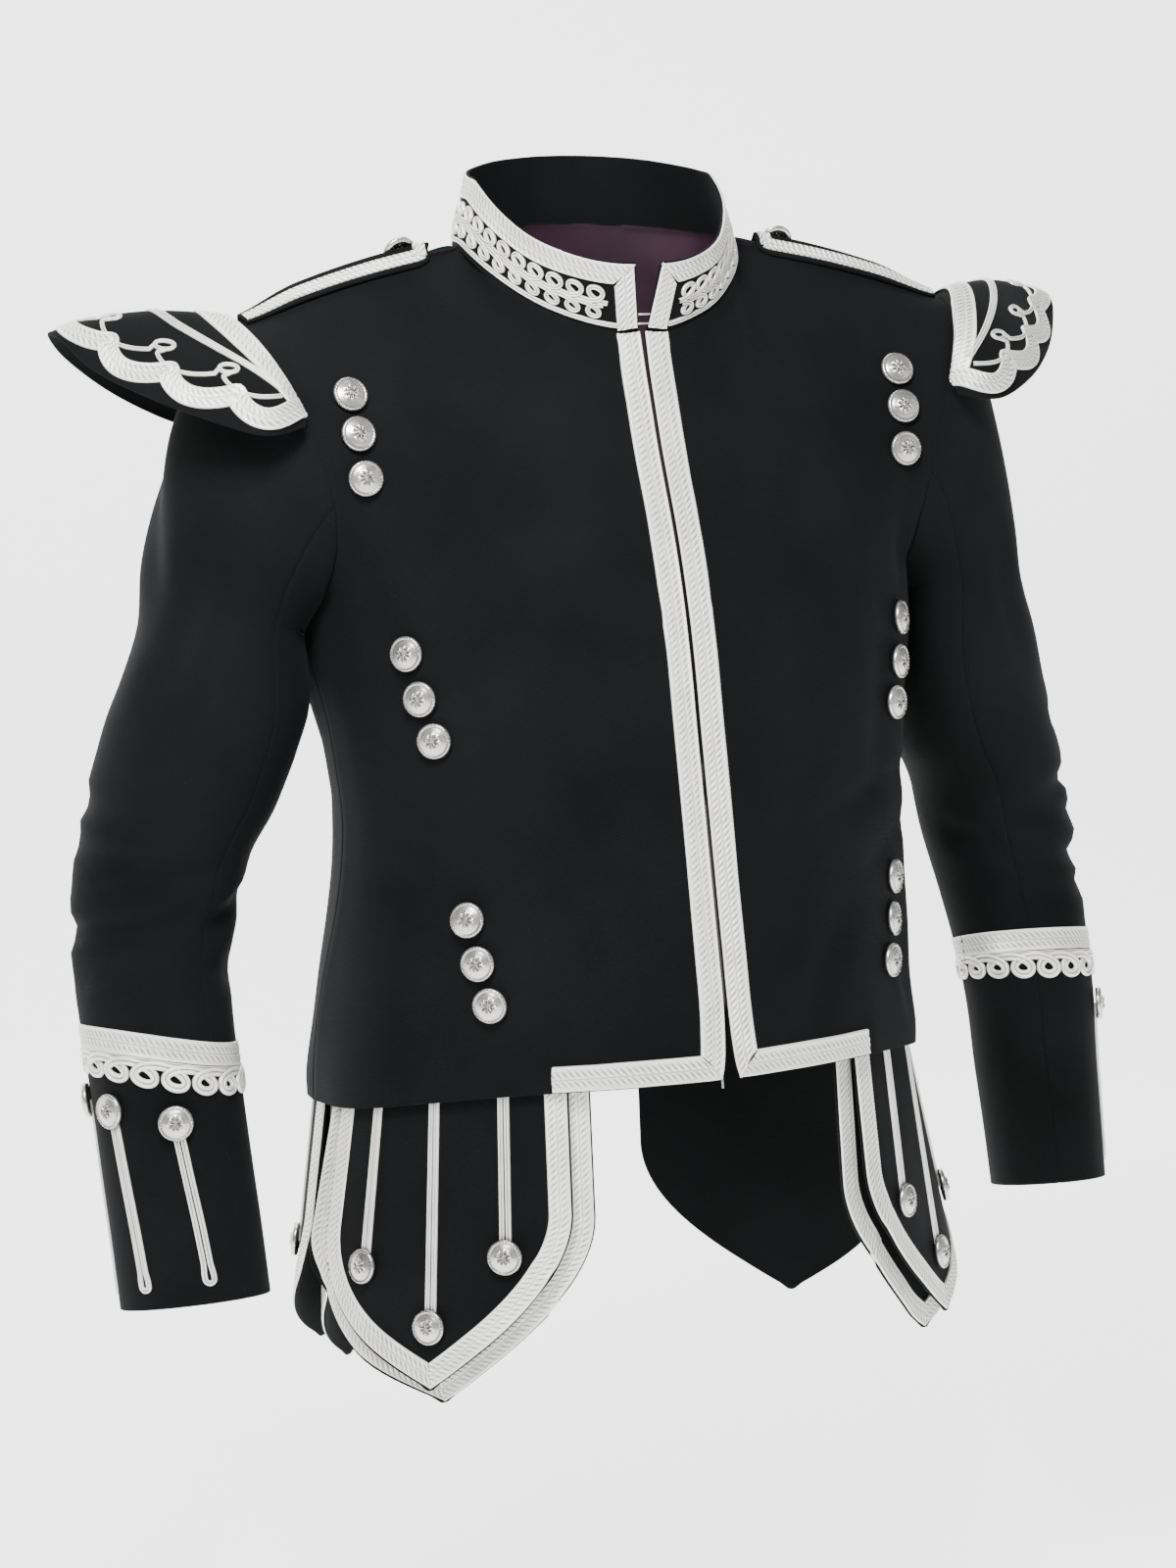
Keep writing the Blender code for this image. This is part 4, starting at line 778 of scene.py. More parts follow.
def strip(place, path, half, across, step, mitre=(0.0, 0.0), eps=0.001):
    """Points, normals, lengths and places across of a strip laid along a flat path on a face."""
    a, b, run, s = resampled(place, path, step)
    w = across * half
    share = s[:, None] / run[-1]
    along = s[:, None] + w[None, :] * (mitre[0] * (1.0 - share) + mitre[1] * share)
    ca, cb = read_path(a, b, run, along)
    ahead = place(*read_path(a, b, run, along + DIRECTION_REACH))[0]
    behind = place(*read_path(a, b, run, along - DIRECTION_REACH))[0]
    middle, normal = place(ca, cb)
    forward = unit(ahead - behind)
    sideways = unit(np.cross(normal, forward)) * w[None, :, None]
    da = (place(ca + eps, cb)[0] - place(ca - eps, cb)[0]) / (2 * eps)
    db = (place(ca, cb + eps)[0] - place(ca, cb - eps)[0]) / (2 * eps)
    aa, ab, bb = (da * da).sum(-1), (da * db).sum(-1), (db * db).sum(-1)
    det = np.maximum(aa * bb - ab * ab, 1e-12)

    def flat_move(way):
        """The move on the flat that leads a way in space along the face."""
        sa, sb = (way * da).sum(-1), (way * db).sum(-1)
        return (sa * bb - sb * ab) / det, (sb * aa - sa * ab) / det

    def limited(change, move):
        return np.clip(change, -MOVE_SHARE * np.abs(move), MOVE_SHARE * np.abs(move))

    move_a, move_b = flat_move(sideways)
    for _ in range(2):
        more_a, more_b = flat_move(middle + sideways - place(ca + move_a, cb + move_b)[0])
        move_a = move_a + limited(more_a, move_a)
        move_b = move_b + limited(more_b, move_b)
    points, normals = place(ca + move_a, cb + move_b)
    return points, normals, along, np.broadcast_to(across[None, :], along.shape)


def braid(relief, place, path, half=0.0079, mitre=(0.0, 0.0), eps=0.001, lift=0.0001):
    """A length of the wide braid along a path."""
    points, normals, s, w = strip(place, path, half, BRAID_ACROSS, BRAID_STEP, mitre, eps)
    raised = points + normals * (lift + braid_height(s, w, half))[..., None]
    relief.grid(raised, normals, s, w * half, WIDE_BRAID)


def cord(relief, place, path, half=0.0019, height=0.0017, eps=0.001, lift=0.0, step=0.0009):
    """A length of the narrow two-strand cord along a path; lift may differ along it."""
    points, normals, s, w = strip(place, path, half, CORD_ACROSS, step, (0.0, 0.0), eps)
    lobe = 2.0 * np.abs(w) - 1.0
    raise_by = height * (0.12 + 0.88 * np.sqrt(np.clip(1.0 - lobe ** 2, 0.0, 1.0)))
    raise_by = np.where(np.abs(w) > 0.99, -0.0003, raise_by)
    share = np.linspace(0.0, 1.0, len(s))
    if callable(lift):
        raise_by = raise_by + lift(share)[:, None]
    relief.grid(points + normals * raise_by[..., None], normals, s, w * half, NARROW_CORD)


BUTTON_PROFILE_COLUMNS = ("radius share", "height share")
BUTTON_PROFILE = (
    (0.001, 1.000), (0.10, 0.995), (0.16, 0.985), (0.22, 0.970), (0.28, 0.955),
    (0.34, 0.935), (0.40, 0.910), (0.47, 0.880), (0.56, 0.835), (0.66, 0.770),
    (0.75, 0.700), (0.80, 0.640), (0.84, 0.660), (0.88, 0.700), (0.93, 0.690),
    (0.97, 0.600), (1.00, 0.450), (1.00, 0.250), (0.95, 0.060), (0.80, 0.000),
)
BUTTON_SIDES = 72
RAYS = 8                  # of the star
ROPE_TURNS = 30.0         # of the roped rim


def spokes(u, v, turn):
    """Directions by their turn in the plane of u and v."""
    return np.cos(turn)[:, None] * u + np.sin(turn)[:, None] * v


def bump_at(r, place, width):
    """1 on a ring of a button and 0 away from it."""
    return np.exp(-((r - place) / width) ** 2)


def button(relief, place, normal, height=BUTTON_HEIGHT, radius=BUTTON_RADIUS):
    """A domed button with a roped rim and a small star of rays in its middle."""
    u = unit(np.cross((0.0, 0.0, 1.0), normal))
    v = np.cross(normal, u)
    turn = np.linspace(0.0, 2.0 * math.pi, BUTTON_SIDES + 1)
    around = spokes(u, v, turn)
    shares = np.array(BUTTON_PROFILE)
    r = shares[:, :1] * np.ones_like(turn)[None, :]
    h = shares[:, 1:] * np.ones_like(turn)[None, :]
    h = h + 0.22 * bump_at(r, 0.26, 0.13) * np.clip(np.cos(RAYS * turn), -0.4, 1.0)[None, :]
    h = h + 0.10 * bump_at(r, 0.0, 0.09)
    h = h + 0.075 * bump_at(r, 0.40, 0.022)
    h = h + 0.12 * bump_at(r, 0.91, 0.055) * np.sin(ROPE_TURNS * turn + 26.0 * r)
    r = r + 0.006 * bump_at(r, 1.0, 0.03) * np.sin(ROPE_TURNS * turn)[None, :]
    spot = place + radius * r[..., None] * around
    spot = spot + (h * height)[..., None] * normal
    outward = unit(normal + 1.2 * (r[..., None] ** 3) * around)
    relief.grid(spot, outward, radius * r, turn[None, :] * radius, METAL)


def running_loops(start, stop, pitch, radius, level, up, wide):
    """A cord that runs on in round loops; up is 1 for loops above their level and -1 below.

    wide is the swing along the line that, less the way run on meanwhile, gives round loops.
    """
    count = max(int(round((stop - start) / pitch)), 1)
    pitch = (stop - start) / count
    t = np.linspace(0.0, 2.0 * math.pi * count, 28 * count + 1)
    a = start + pitch * t / (2.0 * math.pi) + wide * np.sin(t)
    b = level - up * radius * np.cos(t)
    return np.stack((a, b), axis=-1), count


def over_under(count, rise=0.0008):
    """Lift that takes a running cord over itself once in each loop."""
    return lambda share: rise * (0.5 + 0.5 * np.sin(2.0 * math.pi * count * share - math.pi))


def wire(relief, path, radius):
    """A thin round wire along points in space."""
    path = np.asarray(path, float)
    count = len(path)
    fine = np.linspace(0.0, count - 1.0, 6 * (count - 1) + 1)
    path = np.stack([np.interp(fine, np.arange(count), path[:, k]) for k in range(3)], axis=-1)
    forward = unit(np.gradient(path, axis=0))
    first = unit(np.cross(forward, (0.31, 0.17, 0.93)))
    second = np.cross(forward, first)
    turn = np.linspace(0.0, 2.0 * math.pi, 11)
    around = spokes(first[:, None, :], second[:, None, :], turn)
    points = path[:, None, :] + radius * around
    relief.grid(points, around, fine[:, None] * 0.001, turn[None, :] * radius, METAL)


# ---- materials ----------------------------------------------------------------------
class Nodes:
    """Short ways to add and link shader nodes in one material."""

    def __init__(self, name, roughness, metallic):
        self.mat = bpy.data.materials.new(name)
        self.mat.use_nodes = True
        self.tree = self.mat.node_tree
        self.shader = self.tree.nodes["Principled BSDF"]
        self.shader.inputs["Roughness"].default_value = roughness
        self.shader.inputs["Metallic"].default_value = metallic

    def add(self, kind, **values):
        node = self.tree.nodes.new("ShaderNode" + kind)
        for key, value in values.items():
            if hasattr(node, key):
                setattr(node, key, value)
            else:
                node.inputs[key.replace("_", " ")].default_value = value
        return node

    def link(self, source, output, target, socket):
        self.tree.links.new(source.outputs[output], target.inputs[socket])

    def maths(self, operation, first, second=0.0):
        """A maths node on outputs (node, socket) or plain numbers; gives its own output."""
        node = self.add("Math", operation=operation)
        for k, value in enumerate((first, second)):
            if isinstance(value, tuple):
                self.link(*value, node, k)
            else:
                node.inputs[k].default_value = value
        return node, "Value"

    def ramp(self, source, low, high, dark, light):
        """Colours between two places of a value."""
        node = self.add("ValToRGB")
        node.color_ramp.elements[0].position = low
        node.color_ramp.elements[1].position = high
        node.color_ramp.elements[0].color = (*dark, 1.0)
        node.color_ramp.elements[1].color = (*light, 1.0)
        self.link(*source, node, "Fac")
        return node

    def bump(self, height, strength, distance):
        node = self.add("Bump")
        node.inputs["Strength"].default_value = strength
        node.inputs["Distance"].default_value = distance
        self.link(*height, node, "Height")
        self.link(node, "Normal", self.shader, "Normal")

    def places(self):
        """The flat place in metres, along and across, as two outputs."""
        coords = self.add("TexCoord")
        parts = self.add("SeparateXYZ")
        self.link(coords, "UV", parts, "Vector")
        return coords, (parts, "X"), (parts, "Y")

    def stripes(self, along, across, pitch, lean):
        """Soft stripes with a pitch in metres, leaning by a share of the place across."""
        slanted = self.maths("ADD", along, self.maths("MULTIPLY", across, lean))
        wave = self.maths("SINE", self.maths("MULTIPLY", slanted, 2.0 * math.pi / pitch))
        return self.maths("ADD", wave, 1.0)


def make_wool():
    """Near-black wool with a fine twill, a little nap and faint dusty unevenness."""
    n = Nodes("wool_black", 0.86, 0.0)
    coords, u, v = n.places()
    cloudy = n.add("TexNoise", Scale=11.0, Detail=3.0)
    n.link(coords, "Object", cloudy, "Vector")
    fibre = n.add("TexNoise", Scale=1500.0, Detail=3.0, Roughness=0.7)
    n.link(coords, "Object", fibre, "Vector")
    twill = n.stripes(u, v, 0.0011, 1.0)
    cross = n.stripes(v, u, 0.0016, -0.25)
    weave = n.maths("MULTIPLY", twill, cross)
    height = n.maths("ADD", n.maths("MULTIPLY", weave, 0.35), (fibre, "Fac"))
    dust = n.maths("MULTIPLY", (cloudy, "Fac"), 0.55)
    nap = n.maths("MULTIPLY", (fibre, "Fac"), 0.45)
    mix = n.maths("ADD", dust, nap)
    colour = n.ramp(mix, 0.32, 0.72, (0.0016, 0.0018, 0.0019), (0.0050, 0.0055, 0.0058))
    n.link(colour, "Color", n.shader, "Base Color")
    n.bump(height, 0.35, 0.00022)
    n.shader.inputs["Specular IOR Level"].default_value = 0.07
    n.shader.inputs["Sheen Weight"].default_value = 0.018
    n.shader.inputs["Sheen Roughness"].default_value = 0.45
    n.shader.inputs["Sheen Tint"].default_value = (0.75, 0.80, 0.85, 1.0)
    return n.mat


def make_lining():
    """Dark plum satin with fine ribs."""
    n = Nodes("lining_satin", 0.42, 0.0)
    coords, u, v = n.places()
    cloudy = n.add("TexNoise", Scale=25.0, Detail=2.0)
    n.link(coords, "Object", cloudy, "Vector")
    colour = n.ramp((cloudy, "Fac"), 0.35, 0.70, (0.018, 0.007, 0.014), (0.034, 0.012, 0.026))
    n.link(colour, "Color", n.shader, "Base Color")
    n.bump(n.stripes(u, v, 0.0007, 0.4), 0.12, 0.0001)
    return n.mat


LANE_WIDTH = 0.0062       # of one lane of the wide braid
GROOVE_HALF = 0.0004      # half width of the groove between its lanes, where the colour has a line of painted shade


def make_silver(name, pitch, lean, light, dark, metallic, roughness, strength, rib_shade=0.0, low=0.22):
    """Silver thread or metal: fine turns of thread, with painted shade in the hollows and between slanted
    ribs, and a random tarnish tone.
    """
    n = Nodes(name, roughness, metallic)
    coords, u, v = n.places()
    thread = n.stripes(u, v, pitch, lean)
    speck = n.add("TexNoise", Scale=1900.0, Detail=2.0)
    n.link(coords, "Object", speck, "Vector")
    tarnish = n.add("TexNoise", Scale=60.0, Detail=3.0)
    n.link(coords, "Object", tarnish, "Vector")
    # Painted shade: ambient occlusion darkens the silver's colour in its hollows and grooves.
    painted_hollow_shade = n.add("AmbientOcclusion", samples=6)
    painted_hollow_shade.inputs["Distance"].default_value = 0.0030
    worn = n.maths("ADD", n.maths("MULTIPLY", (tarnish, "Fac"), 0.45), 0.72)
    # The colour's value: the painted hollow shade times a random tarnish tone.
    shade_and_tarnish = n.maths("MULTIPLY", (painted_hollow_shade, "AO"), worn)
    # On the wide braid, painted shade darkens the colour in the slits between the slanted ribs and in the
    # groove between its lanes.
    if rib_shade:
        side = n.maths("MULTIPLY", n.maths("GREATER_THAN", v, 0.0), 0.5 * BRAID_PITCH)
        slant = n.maths("MULTIPLY", v, BRAID_SLANT)
        along = n.maths("ADD", n.maths("ADD", u, side), n.maths("ADD", slant, -0.25 * BRAID_PITCH))
        painted_slit_shade = n.maths("SINE", n.maths("MULTIPLY", along, 2.0 * math.pi / BRAID_PITCH))
        across = n.maths("ABSOLUTE", v)
        lane = n.maths("SINE", n.maths("MULTIPLY", across, math.pi / LANE_WIDTH))
        painted_slit_shade = n.maths("MULTIPLY", n.maths("MAXIMUM", painted_slit_shade, 0.0), n.maths("MAXIMUM", lane, 0.0))
        painted_groove_shade = n.maths("MULTIPLY", n.maths("LESS_THAN", across, GROOVE_HALF), 0.35)
        # The painted shade that is taken off the colour between the ribs and in the groove.
        cut = n.maths("ADD", n.maths("MULTIPLY", painted_slit_shade, rib_shade), painted_groove_shade)
        shade_and_tarnish = n.maths("MULTIPLY", shade_and_tarnish, n.maths("SUBTRACT", 1.0, cut))
    # Colours run from dark, where the painted shade and tarnish are deep, to light.
    colour = n.ramp(shade_and_tarnish, low, 0.92, dark, light)
    n.link(colour, "Color", n.shader, "Base Color")
    rough = n.maths("ADD", n.maths("MULTIPLY", (speck, "Fac"), 0.22), roughness - 0.11)
    n.link(*rough, n.shader, "Roughness")
    height = n.maths("ADD", n.maths("MULTIPLY", thread, 0.5), (speck, "Fac"))
    n.bump(height, strength, 0.00020)
    return n.mat


WOOL = make_wool()
LINING = make_lining()
# All three have painted shade in their hollows; the wide braid also has painted shade between its ribs and
# in its middle groove.
SILVER_BRAID = make_silver("silver_braid", pitch=0.00062, lean=0.55, light=(0.86, 0.85, 0.80),
                           dark=(0.09, 0.088, 0.078), metallic=0.40, roughness=0.42, strength=0.5, rib_shade=0.62)
SILVER_CORD = make_silver("silver_cord", pitch=0.0011, lean=1.1, light=(0.86, 0.85, 0.80),
                          dark=(0.09, 0.087, 0.078), metallic=0.45, roughness=0.40, strength=0.5)
SILVER_METAL = make_silver("silver_metal", pitch=0.0003, lean=0.0, light=(0.56, 0.55, 0.51),
                           dark=(0.02, 0.019, 0.017), metallic=0.90, roughness=0.28, strength=0.12, low=0.40)


# ---- folds --------------------------------------------------------------------------
# Soft folds as lines on the unrolled cloth: two ends (across, height), half width and depth in metres.
FOLD_COLUMNS = ("a0", "z0", "a1", "z1", "width", "depth")
FRONT_FOLDS_R = (
    (0.205, -0.150, 0.176, -0.345, 0.017, 0.0030),
    (0.178, -0.210, 0.126, -0.400, 0.022, 0.0022),
    (0.120, -0.130, 0.060, -0.210, 0.026, 0.0018),
    (0.190, -0.372, 0.070, -0.398, 0.015, 0.0020),
    (0.196, -0.408, 0.110, -0.432, 0.013, 0.0016),
    (0.092, -0.430, 0.052, -0.530, 0.020, 0.0018),
    (0.170, -0.450, 0.186, -0.545, 0.018, 0.0020),
)
FRONT_FOLDS_L = (
    (0.203, -0.160, 0.182, -0.330, 0.015, 0.0028),
    (0.170, -0.230, 0.136, -0.390, 0.020, 0.0020),
    (0.128, -0.120, 0.054, -0.235, 0.024, 0.0020),
    (0.192, -0.362, 0.086, -0.384, 0.014, 0.0022),
    (0.190, -0.398, 0.126, -0.420, 0.012, 0.0014),
    (0.104, -0.440, 0.060, -0.525, 0.018, 0.0016),
    (0.160, -0.446, 0.180, -0.540, 0.016, 0.0022),
)
BACK_FOLDS = (
    (-0.206, -0.200, -0.208, -0.325, 0.028, -0.0030),
    (0.206, -0.205, 0.208, -0.320, 0.028, -0.0028),
    (-0.020, -0.050, -0.012, -0.190, 0.024, 0.0020),
    (0.150, -0.110, 0.110, -0.300, 0.024, 0.0026),
    (-0.156, -0.100, -0.116, -0.290, 0.022, 0.0026),
    (0.190, -0.352, 0.040, -0.380, 0.014, 0.0026),
    (-0.186, -0.360, -0.060, -0.376, 0.013, 0.0024),
    (0.170, -0.392, 0.070, -0.404, 0.012, 0.0018),
    (-0.176, -0.398, -0.030, -0.412, 0.013, 0.0020),
    (0.090, -0.420, 0.104, -0.548, 0.020, 0.0026),
    (-0.084, -0.420, -0.100, -0.548, 0.020, 0.0024),
    (0.006, -0.430, 0.002, -0.548, 0.022, 0.0020),
)
# On the sleeves a is the way round, from the outer side towards the front, on a girth of 55 mm.
SLEEVE_FOLDS_R = (
    (0.152, -0.195, 0.150, -0.318, 0.034, -0.0030),
    (-0.045, -0.350, 0.070, -0.372, 0.012, 0.0030),
    (-0.030, -0.378, 0.085, -0.396, 0.011, 0.0036),
    (0.000, -0.414, 0.110, -0.398, 0.011, 0.0034),
    (-0.040, -0.440, 0.095, -0.432, 0.012, 0.0042),
    (-0.010, -0.470, 0.060, -0.452, 0.011, 0.0026),
    (0.100, -0.440, 0.165, -0.416, 0.013, 0.0030),
    (0.105, -0.462, 0.160, -0.470, 0.012, 0.0022),
    (-0.120, -0.372, -0.040, -0.392, 0.014, 0.0026),
    (-0.150, -0.418, -0.050, -0.424, 0.014, 0.0024),
    (-0.020, -0.120, 0.020, -0.235, 0.020, 0.0026),
    (0.050, -0.170, 0.030, -0.300, 0.022, 0.0026),
    (-0.070, -0.180, -0.060, -0.320, 0.022, 0.0024),
    (0.070, -0.560, 0.060, -0.670, 0.018, 0.0014),
)
SLEEVE_FOLDS_L = (
    (-0.030, -0.382, 0.080, -0.402, 0.012, 0.0036),
    (0.010, -0.418, 0.120, -0.410, 0.011, 0.0028),
    (-0.050, -0.446, 0.080, -0.450, 0.012, 0.0040),
    (0.000, -0.466, 0.100, -0.474, 0.011, 0.0026),
    (-0.050, -0.352, 0.040, -0.346, 0.013, 0.0022),
    (0.105, -0.436, 0.160, -0.426, 0.013, 0.0028),
    (-0.140, -0.390, -0.045, -0.404, 0.014, 0.0028),
    (-0.130, -0.444, -0.060, -0.440, 0.013, 0.0020),
    (0.010, -0.120, 0.030, -0.250, 0.020, 0.0024),
    (-0.060, -0.160, -0.070, -0.310, 0.022, 0.0026),
    (0.080, -0.200, 0.060, -0.320, 0.020, 0.0022),
)


def fold_depth(a, z, folds, deeper=1.6):
    """How far the folds move the cloth out: a hollow along each line with a ridge on both sides."""
    total = np.zeros_like(a)
    for a0, z0, a1, z1, width, depth in folds:
        depth = depth * deeper
        da, dz = a1 - a0, z1 - z0
        share = ((a - a0) * da + (z - z0) * dz) / (da * da + dz * dz)
        near = np.clip(share, 0.0, 1.0)
        gap = np.hypot(a - a0 - near * da, z - z0 - near * dz) / width
        end = np.clip(4.0 * near * (1.0 - near) + 0.15, 0.0, 1.0)
        total = total - depth * end * (1.0 - 1.1 * gap ** 2) * np.exp(-gap ** 2)
    return total


def from_edges(points):
    """How far the points of a grid lie from its left, right, top and low edges."""
    across = np.linalg.norm(np.diff(points, axis=1), axis=2)
    down = np.linalg.norm(np.diff(points, axis=0), axis=2)
    zero = np.zeros_like(across[:, :1])
    left = np.concatenate((zero, np.cumsum(across, axis=1)), axis=1)
    top = np.concatenate((np.zeros_like(down[:1]), np.cumsum(down, axis=0)))
    return left, left[:, -1:] - left, top, top[-1:] - top


SEAM_REACH = 0.0018       # how far from a seam the cloth dips to it


def held_edges(points, reach=0.030, seam=0.0005, sides=(1, 1, 1, 1)):
    """Share of the folds that is let in, and the dip beside the seams on (left, right, top, low) sides."""
    gaps = from_edges(points)
    share = np.ones_like(gaps[0])
    dip = np.zeros_like(gaps[0])
    for gap, on in zip(gaps, sides):
        if on:
            share = share * smooth(gap / reach)
            dip = dip - seam * np.clip(1.0 - gap / SEAM_REACH, 0.0, 1.0) ** 2
    return share, dip


# ---- torso and collar ---------------------------------------------------------------
TORSO_PER = 5             # dense cells for each cell of the panel's grid
ABOVE_AXIS = np.array((0.0, 0.015, 0.0))


def from_axis(points):
    """Directions away from the upright axis of the torso."""
    away = (points - ABOVE_AXIS) * np.array((1.0, 1.0, 0.0))
    return away + np.array((0.0, 0.0, 0.02))


STIFF_COLUMN = 0.016      # width along the front edge that keeps its form under the braid


def front_folds(folds):
    """How far the folds of a front move its cloth."""
    def lifted(points):
        share, dip = held_edges(points, sides=(0, 1, 1, 0))
        flat = fold_depth(points[..., 0], points[..., 2], folds)
        # The front edge stays as it is, as stiff braid lies on it.
        stiff = smooth((points[..., 0] - STIFF_COLUMN) / 0.03)
        return flat * share * stiff + dip
    return lifted


def back_folds(points):
    """How far the folds of the back move its cloth."""
    share, dip = held_edges(points, sides=(1, 1, 1, 0))
    return fold_depth(points[..., 0], points[..., 2], BACK_FOLDS) * share + dip


ROWS = knots(0, PANEL_ROWS, TORSO_PER)
FRONT_COLS = knots(0, NECK_COLS + SHOULDER_COLS, TORSO_PER)
FRONT_FORM = Form(FRONT)
FRONT_FACES = {}
for side, suffix, folds in ((-1, "r", FRONT_FOLDS_R), (1, "l", FRONT_FOLDS_L)):
    face = dense(FRONT_FORM, ROWS, FRONT_COLS, from_axis, front_folds(folds))
    FRONT_FACES[suffix] = face.mirrored(side)
    shell("front_" + suffix, FRONT_FACES[suffix], WOOL, LINING)

BACK_HALF = BACK * np.array((-1.0, 1.0, 1.0))
BACK_FORM = Form(np.concatenate((BACK_HALF[:, :0:-1], BACK), axis=1))
BACK_COLS = 2 * (NECK_COLS + SHOULDER_COLS)
BACK_FACE = dense(BACK_FORM, ROWS, knots(0, BACK_COLS, TORSO_PER), from_axis, back_folds)
shell("back", BACK_FACE, WOOL, LINING)


def of_face(face):
    """Reads a face at (column, row) places."""
    return lambda a, b: face.at(b, a)


FRONT_BRAID_IN = 0.0081   # from the front edge and the hem to the middle of the braid


def inward(place, first, last, fixed, across):
    """How far a face runs in rows or columns over the distance to the middle of the braid."""
    line = np.linspace(first, last, 60)
    points = (place(line, fixed + 0.0 * line) if across else place(fixed + 0.0 * line, line))[0]
    run = run_along(points)
    return float(np.interp(FRONT_BRAID_IN, run, line))


# A pin at the foot of the right front, as places from the hem's corner.
PIN_COLUMNS = ("x", "y", "z")
PIN = ((0.0004, 0.003, 0.012), (0.0004, 0.002, 0.004), (0.0004, 0.001, -0.006))
PIN_RADIUS = 0.0008


def hem_row(place, col):
    """The row of the middle of the hem braid at a column."""
    return inward(place, PANEL_ROWS - 0.001, PANEL_ROWS - 1.5, col, False)


for side, suffix in SIDES:
    relief = Relief()
    place = of_face(FRONT_FACES[suffix])
    down = [(inward(place, 0.0, 2.0, row, True), row) for row in np.linspace(0.02, hem_row(place, 2.0), 40)]
    braid(relief, place, down, mitre=(0.0, -side), eps=CELL_EPS)
    level = [(col, hem_row(place, col)) for col in np.linspace(down[-1][0], NECK_COLS - 1.03, 16)]
    braid(relief, place, level, mitre=(side, 0.0), eps=CELL_EPS, lift=0.0003)
    if suffix == "r":
        corner = place(0.0, PANEL_ROWS)[0]
        wire(relief, corner + np.array(PIN), PIN_RADIUS)
    relief.make("front_braid_" + suffix)

COLLAR_BELOW = 0.07       # how far the collar's cloth runs on below its seam, as a share of its height
COLLAR_ROWS = 8
LEVELS = np.linspace(1.0, -COLLAR_BELOW, COLLAR_ROWS + 1)
ALONGS = np.linspace(-1.0, 1.0, COLLAR_COLS * 2 + 1)
COLLAR_FORM = Form(np.array([[collar_point(a, up) for a in ALONGS] for up in LEVELS]))


def collar_folds(points):
    """A slight unevenness of the stiff collar."""
    turn = np.arctan2(points[..., 0], -points[..., 1])
    return 0.0007 * np.sin(3.0 * turn + 0.6) * np.sin(9.0 * turn)


COLLAR_KNOTS = (knots(0, COLLAR_ROWS, 2), knots(0, 2 * COLLAR_COLS, 2))
COLLAR_FACE = dense(COLLAR_FORM, *COLLAR_KNOTS, from_axis, collar_folds)
shell("collar", COLLAR_FACE, WOOL, WOOL)
COLLAR_RUN = lengths_of(COLLAR_FACE.points)[0]
COLLAR_LENGTH = float(COLLAR_RUN[-1])


def collar_place(a, b):
    """The collar's face at a length from its right front end and a height above its seam."""
    col = np.interp(a, COLLAR_RUN, COLLAR_FACE.cols)
    return COLLAR_FACE.at(COLLAR_ROWS * (1.0 - np.asarray(b) / COLLAR_HEIGHT) / (1.0 + COLLAR_BELOW), col)


COLLAR_BRAID_HALF = 0.0070
COLLAR_FOOT = 0.0005      # where the upright braid at the collar's ends starts
COLLAR_END = 0.0076       # from the collar's end to the middle of its upright braid
TOP_LINE = COLLAR_HEIGHT - COLLAR_BRAID_HALF - 0.0004
EYE_PITCH = 0.0142        # from one eye of the cord to the next
EYE_CORD = {"half": 0.00165, "height": 0.0016}
EYES_FROM = 0.0205        # from the collar's end to the first upper eye, and to the first lower one
LOWER_EYES_FROM = 0.0235
HOOK_LEVELS = (0.004, 0.010)
HOOK_RADIUS = 0.0006
HOOK = [(0.0042 * math.cos(v), -0.0016 * math.sin(v), 0.0) for v in np.linspace(0.0, math.pi, 7)]

relief = Relief()
ends = (COLLAR_END, COLLAR_LENGTH - COLLAR_END)
right = [(ends[0], b) for b in np.linspace(COLLAR_FOOT, TOP_LINE, 6)]
top = [(a, TOP_LINE) for a in np.linspace(ends[0], ends[1], 60)]
left = [(ends[1], b) for b in np.linspace(TOP_LINE, COLLAR_FOOT, 6)]
braid(relief, collar_place, right, COLLAR_BRAID_HALF, (0.0, -1.0))
braid(relief, collar_place, top, COLLAR_BRAID_HALF, (1.0, -1.0), lift=0.0002)
braid(relief, collar_place, left, COLLAR_BRAID_HALF, (1.0, 0.0))
loops, count = running_loops(EYES_FROM, COLLAR_LENGTH - EYES_FROM, EYE_PITCH,
                             radius=0.0047, level=0.0205, up=1, wide=0.0078)
cord(relief, collar_place, loops, **EYE_CORD, lift=over_under(count))
for level in HOOK_LEVELS:
    base = 0.5 * (collar_place(0.0, level)[0] + collar_place(COLLAR_LENGTH, level)[0])
    wire(relief, base + np.array(HOOK), HOOK_RADIUS)
relief.make("collar_braid")

relief = Relief()
loops, count = running_loops(LOWER_EYES_FROM, COLLAR_LENGTH - LOWER_EYES_FROM, EYE_PITCH,
                             radius=0.0040, level=0.0100, up=-1, wide=0.0071)
cord(relief, collar_place, loops, **EYE_CORD, lift=over_under(count, 0.0007))
foot_line = [(a, 0.0022) for a in np.linspace(0.0150, COLLAR_LENGTH - 0.0150, 80)]
cord(relief, collar_place, foot_line, half=0.0017)
relief.make("collar_cord")


# ---- sleeves and cuffs --------------------------------------------------------------
SLEEVE_PER = 6            # dense cells for each cell of the sleeve's ring
GIRTH = 0.055             # radius that the folds' way round is counted on


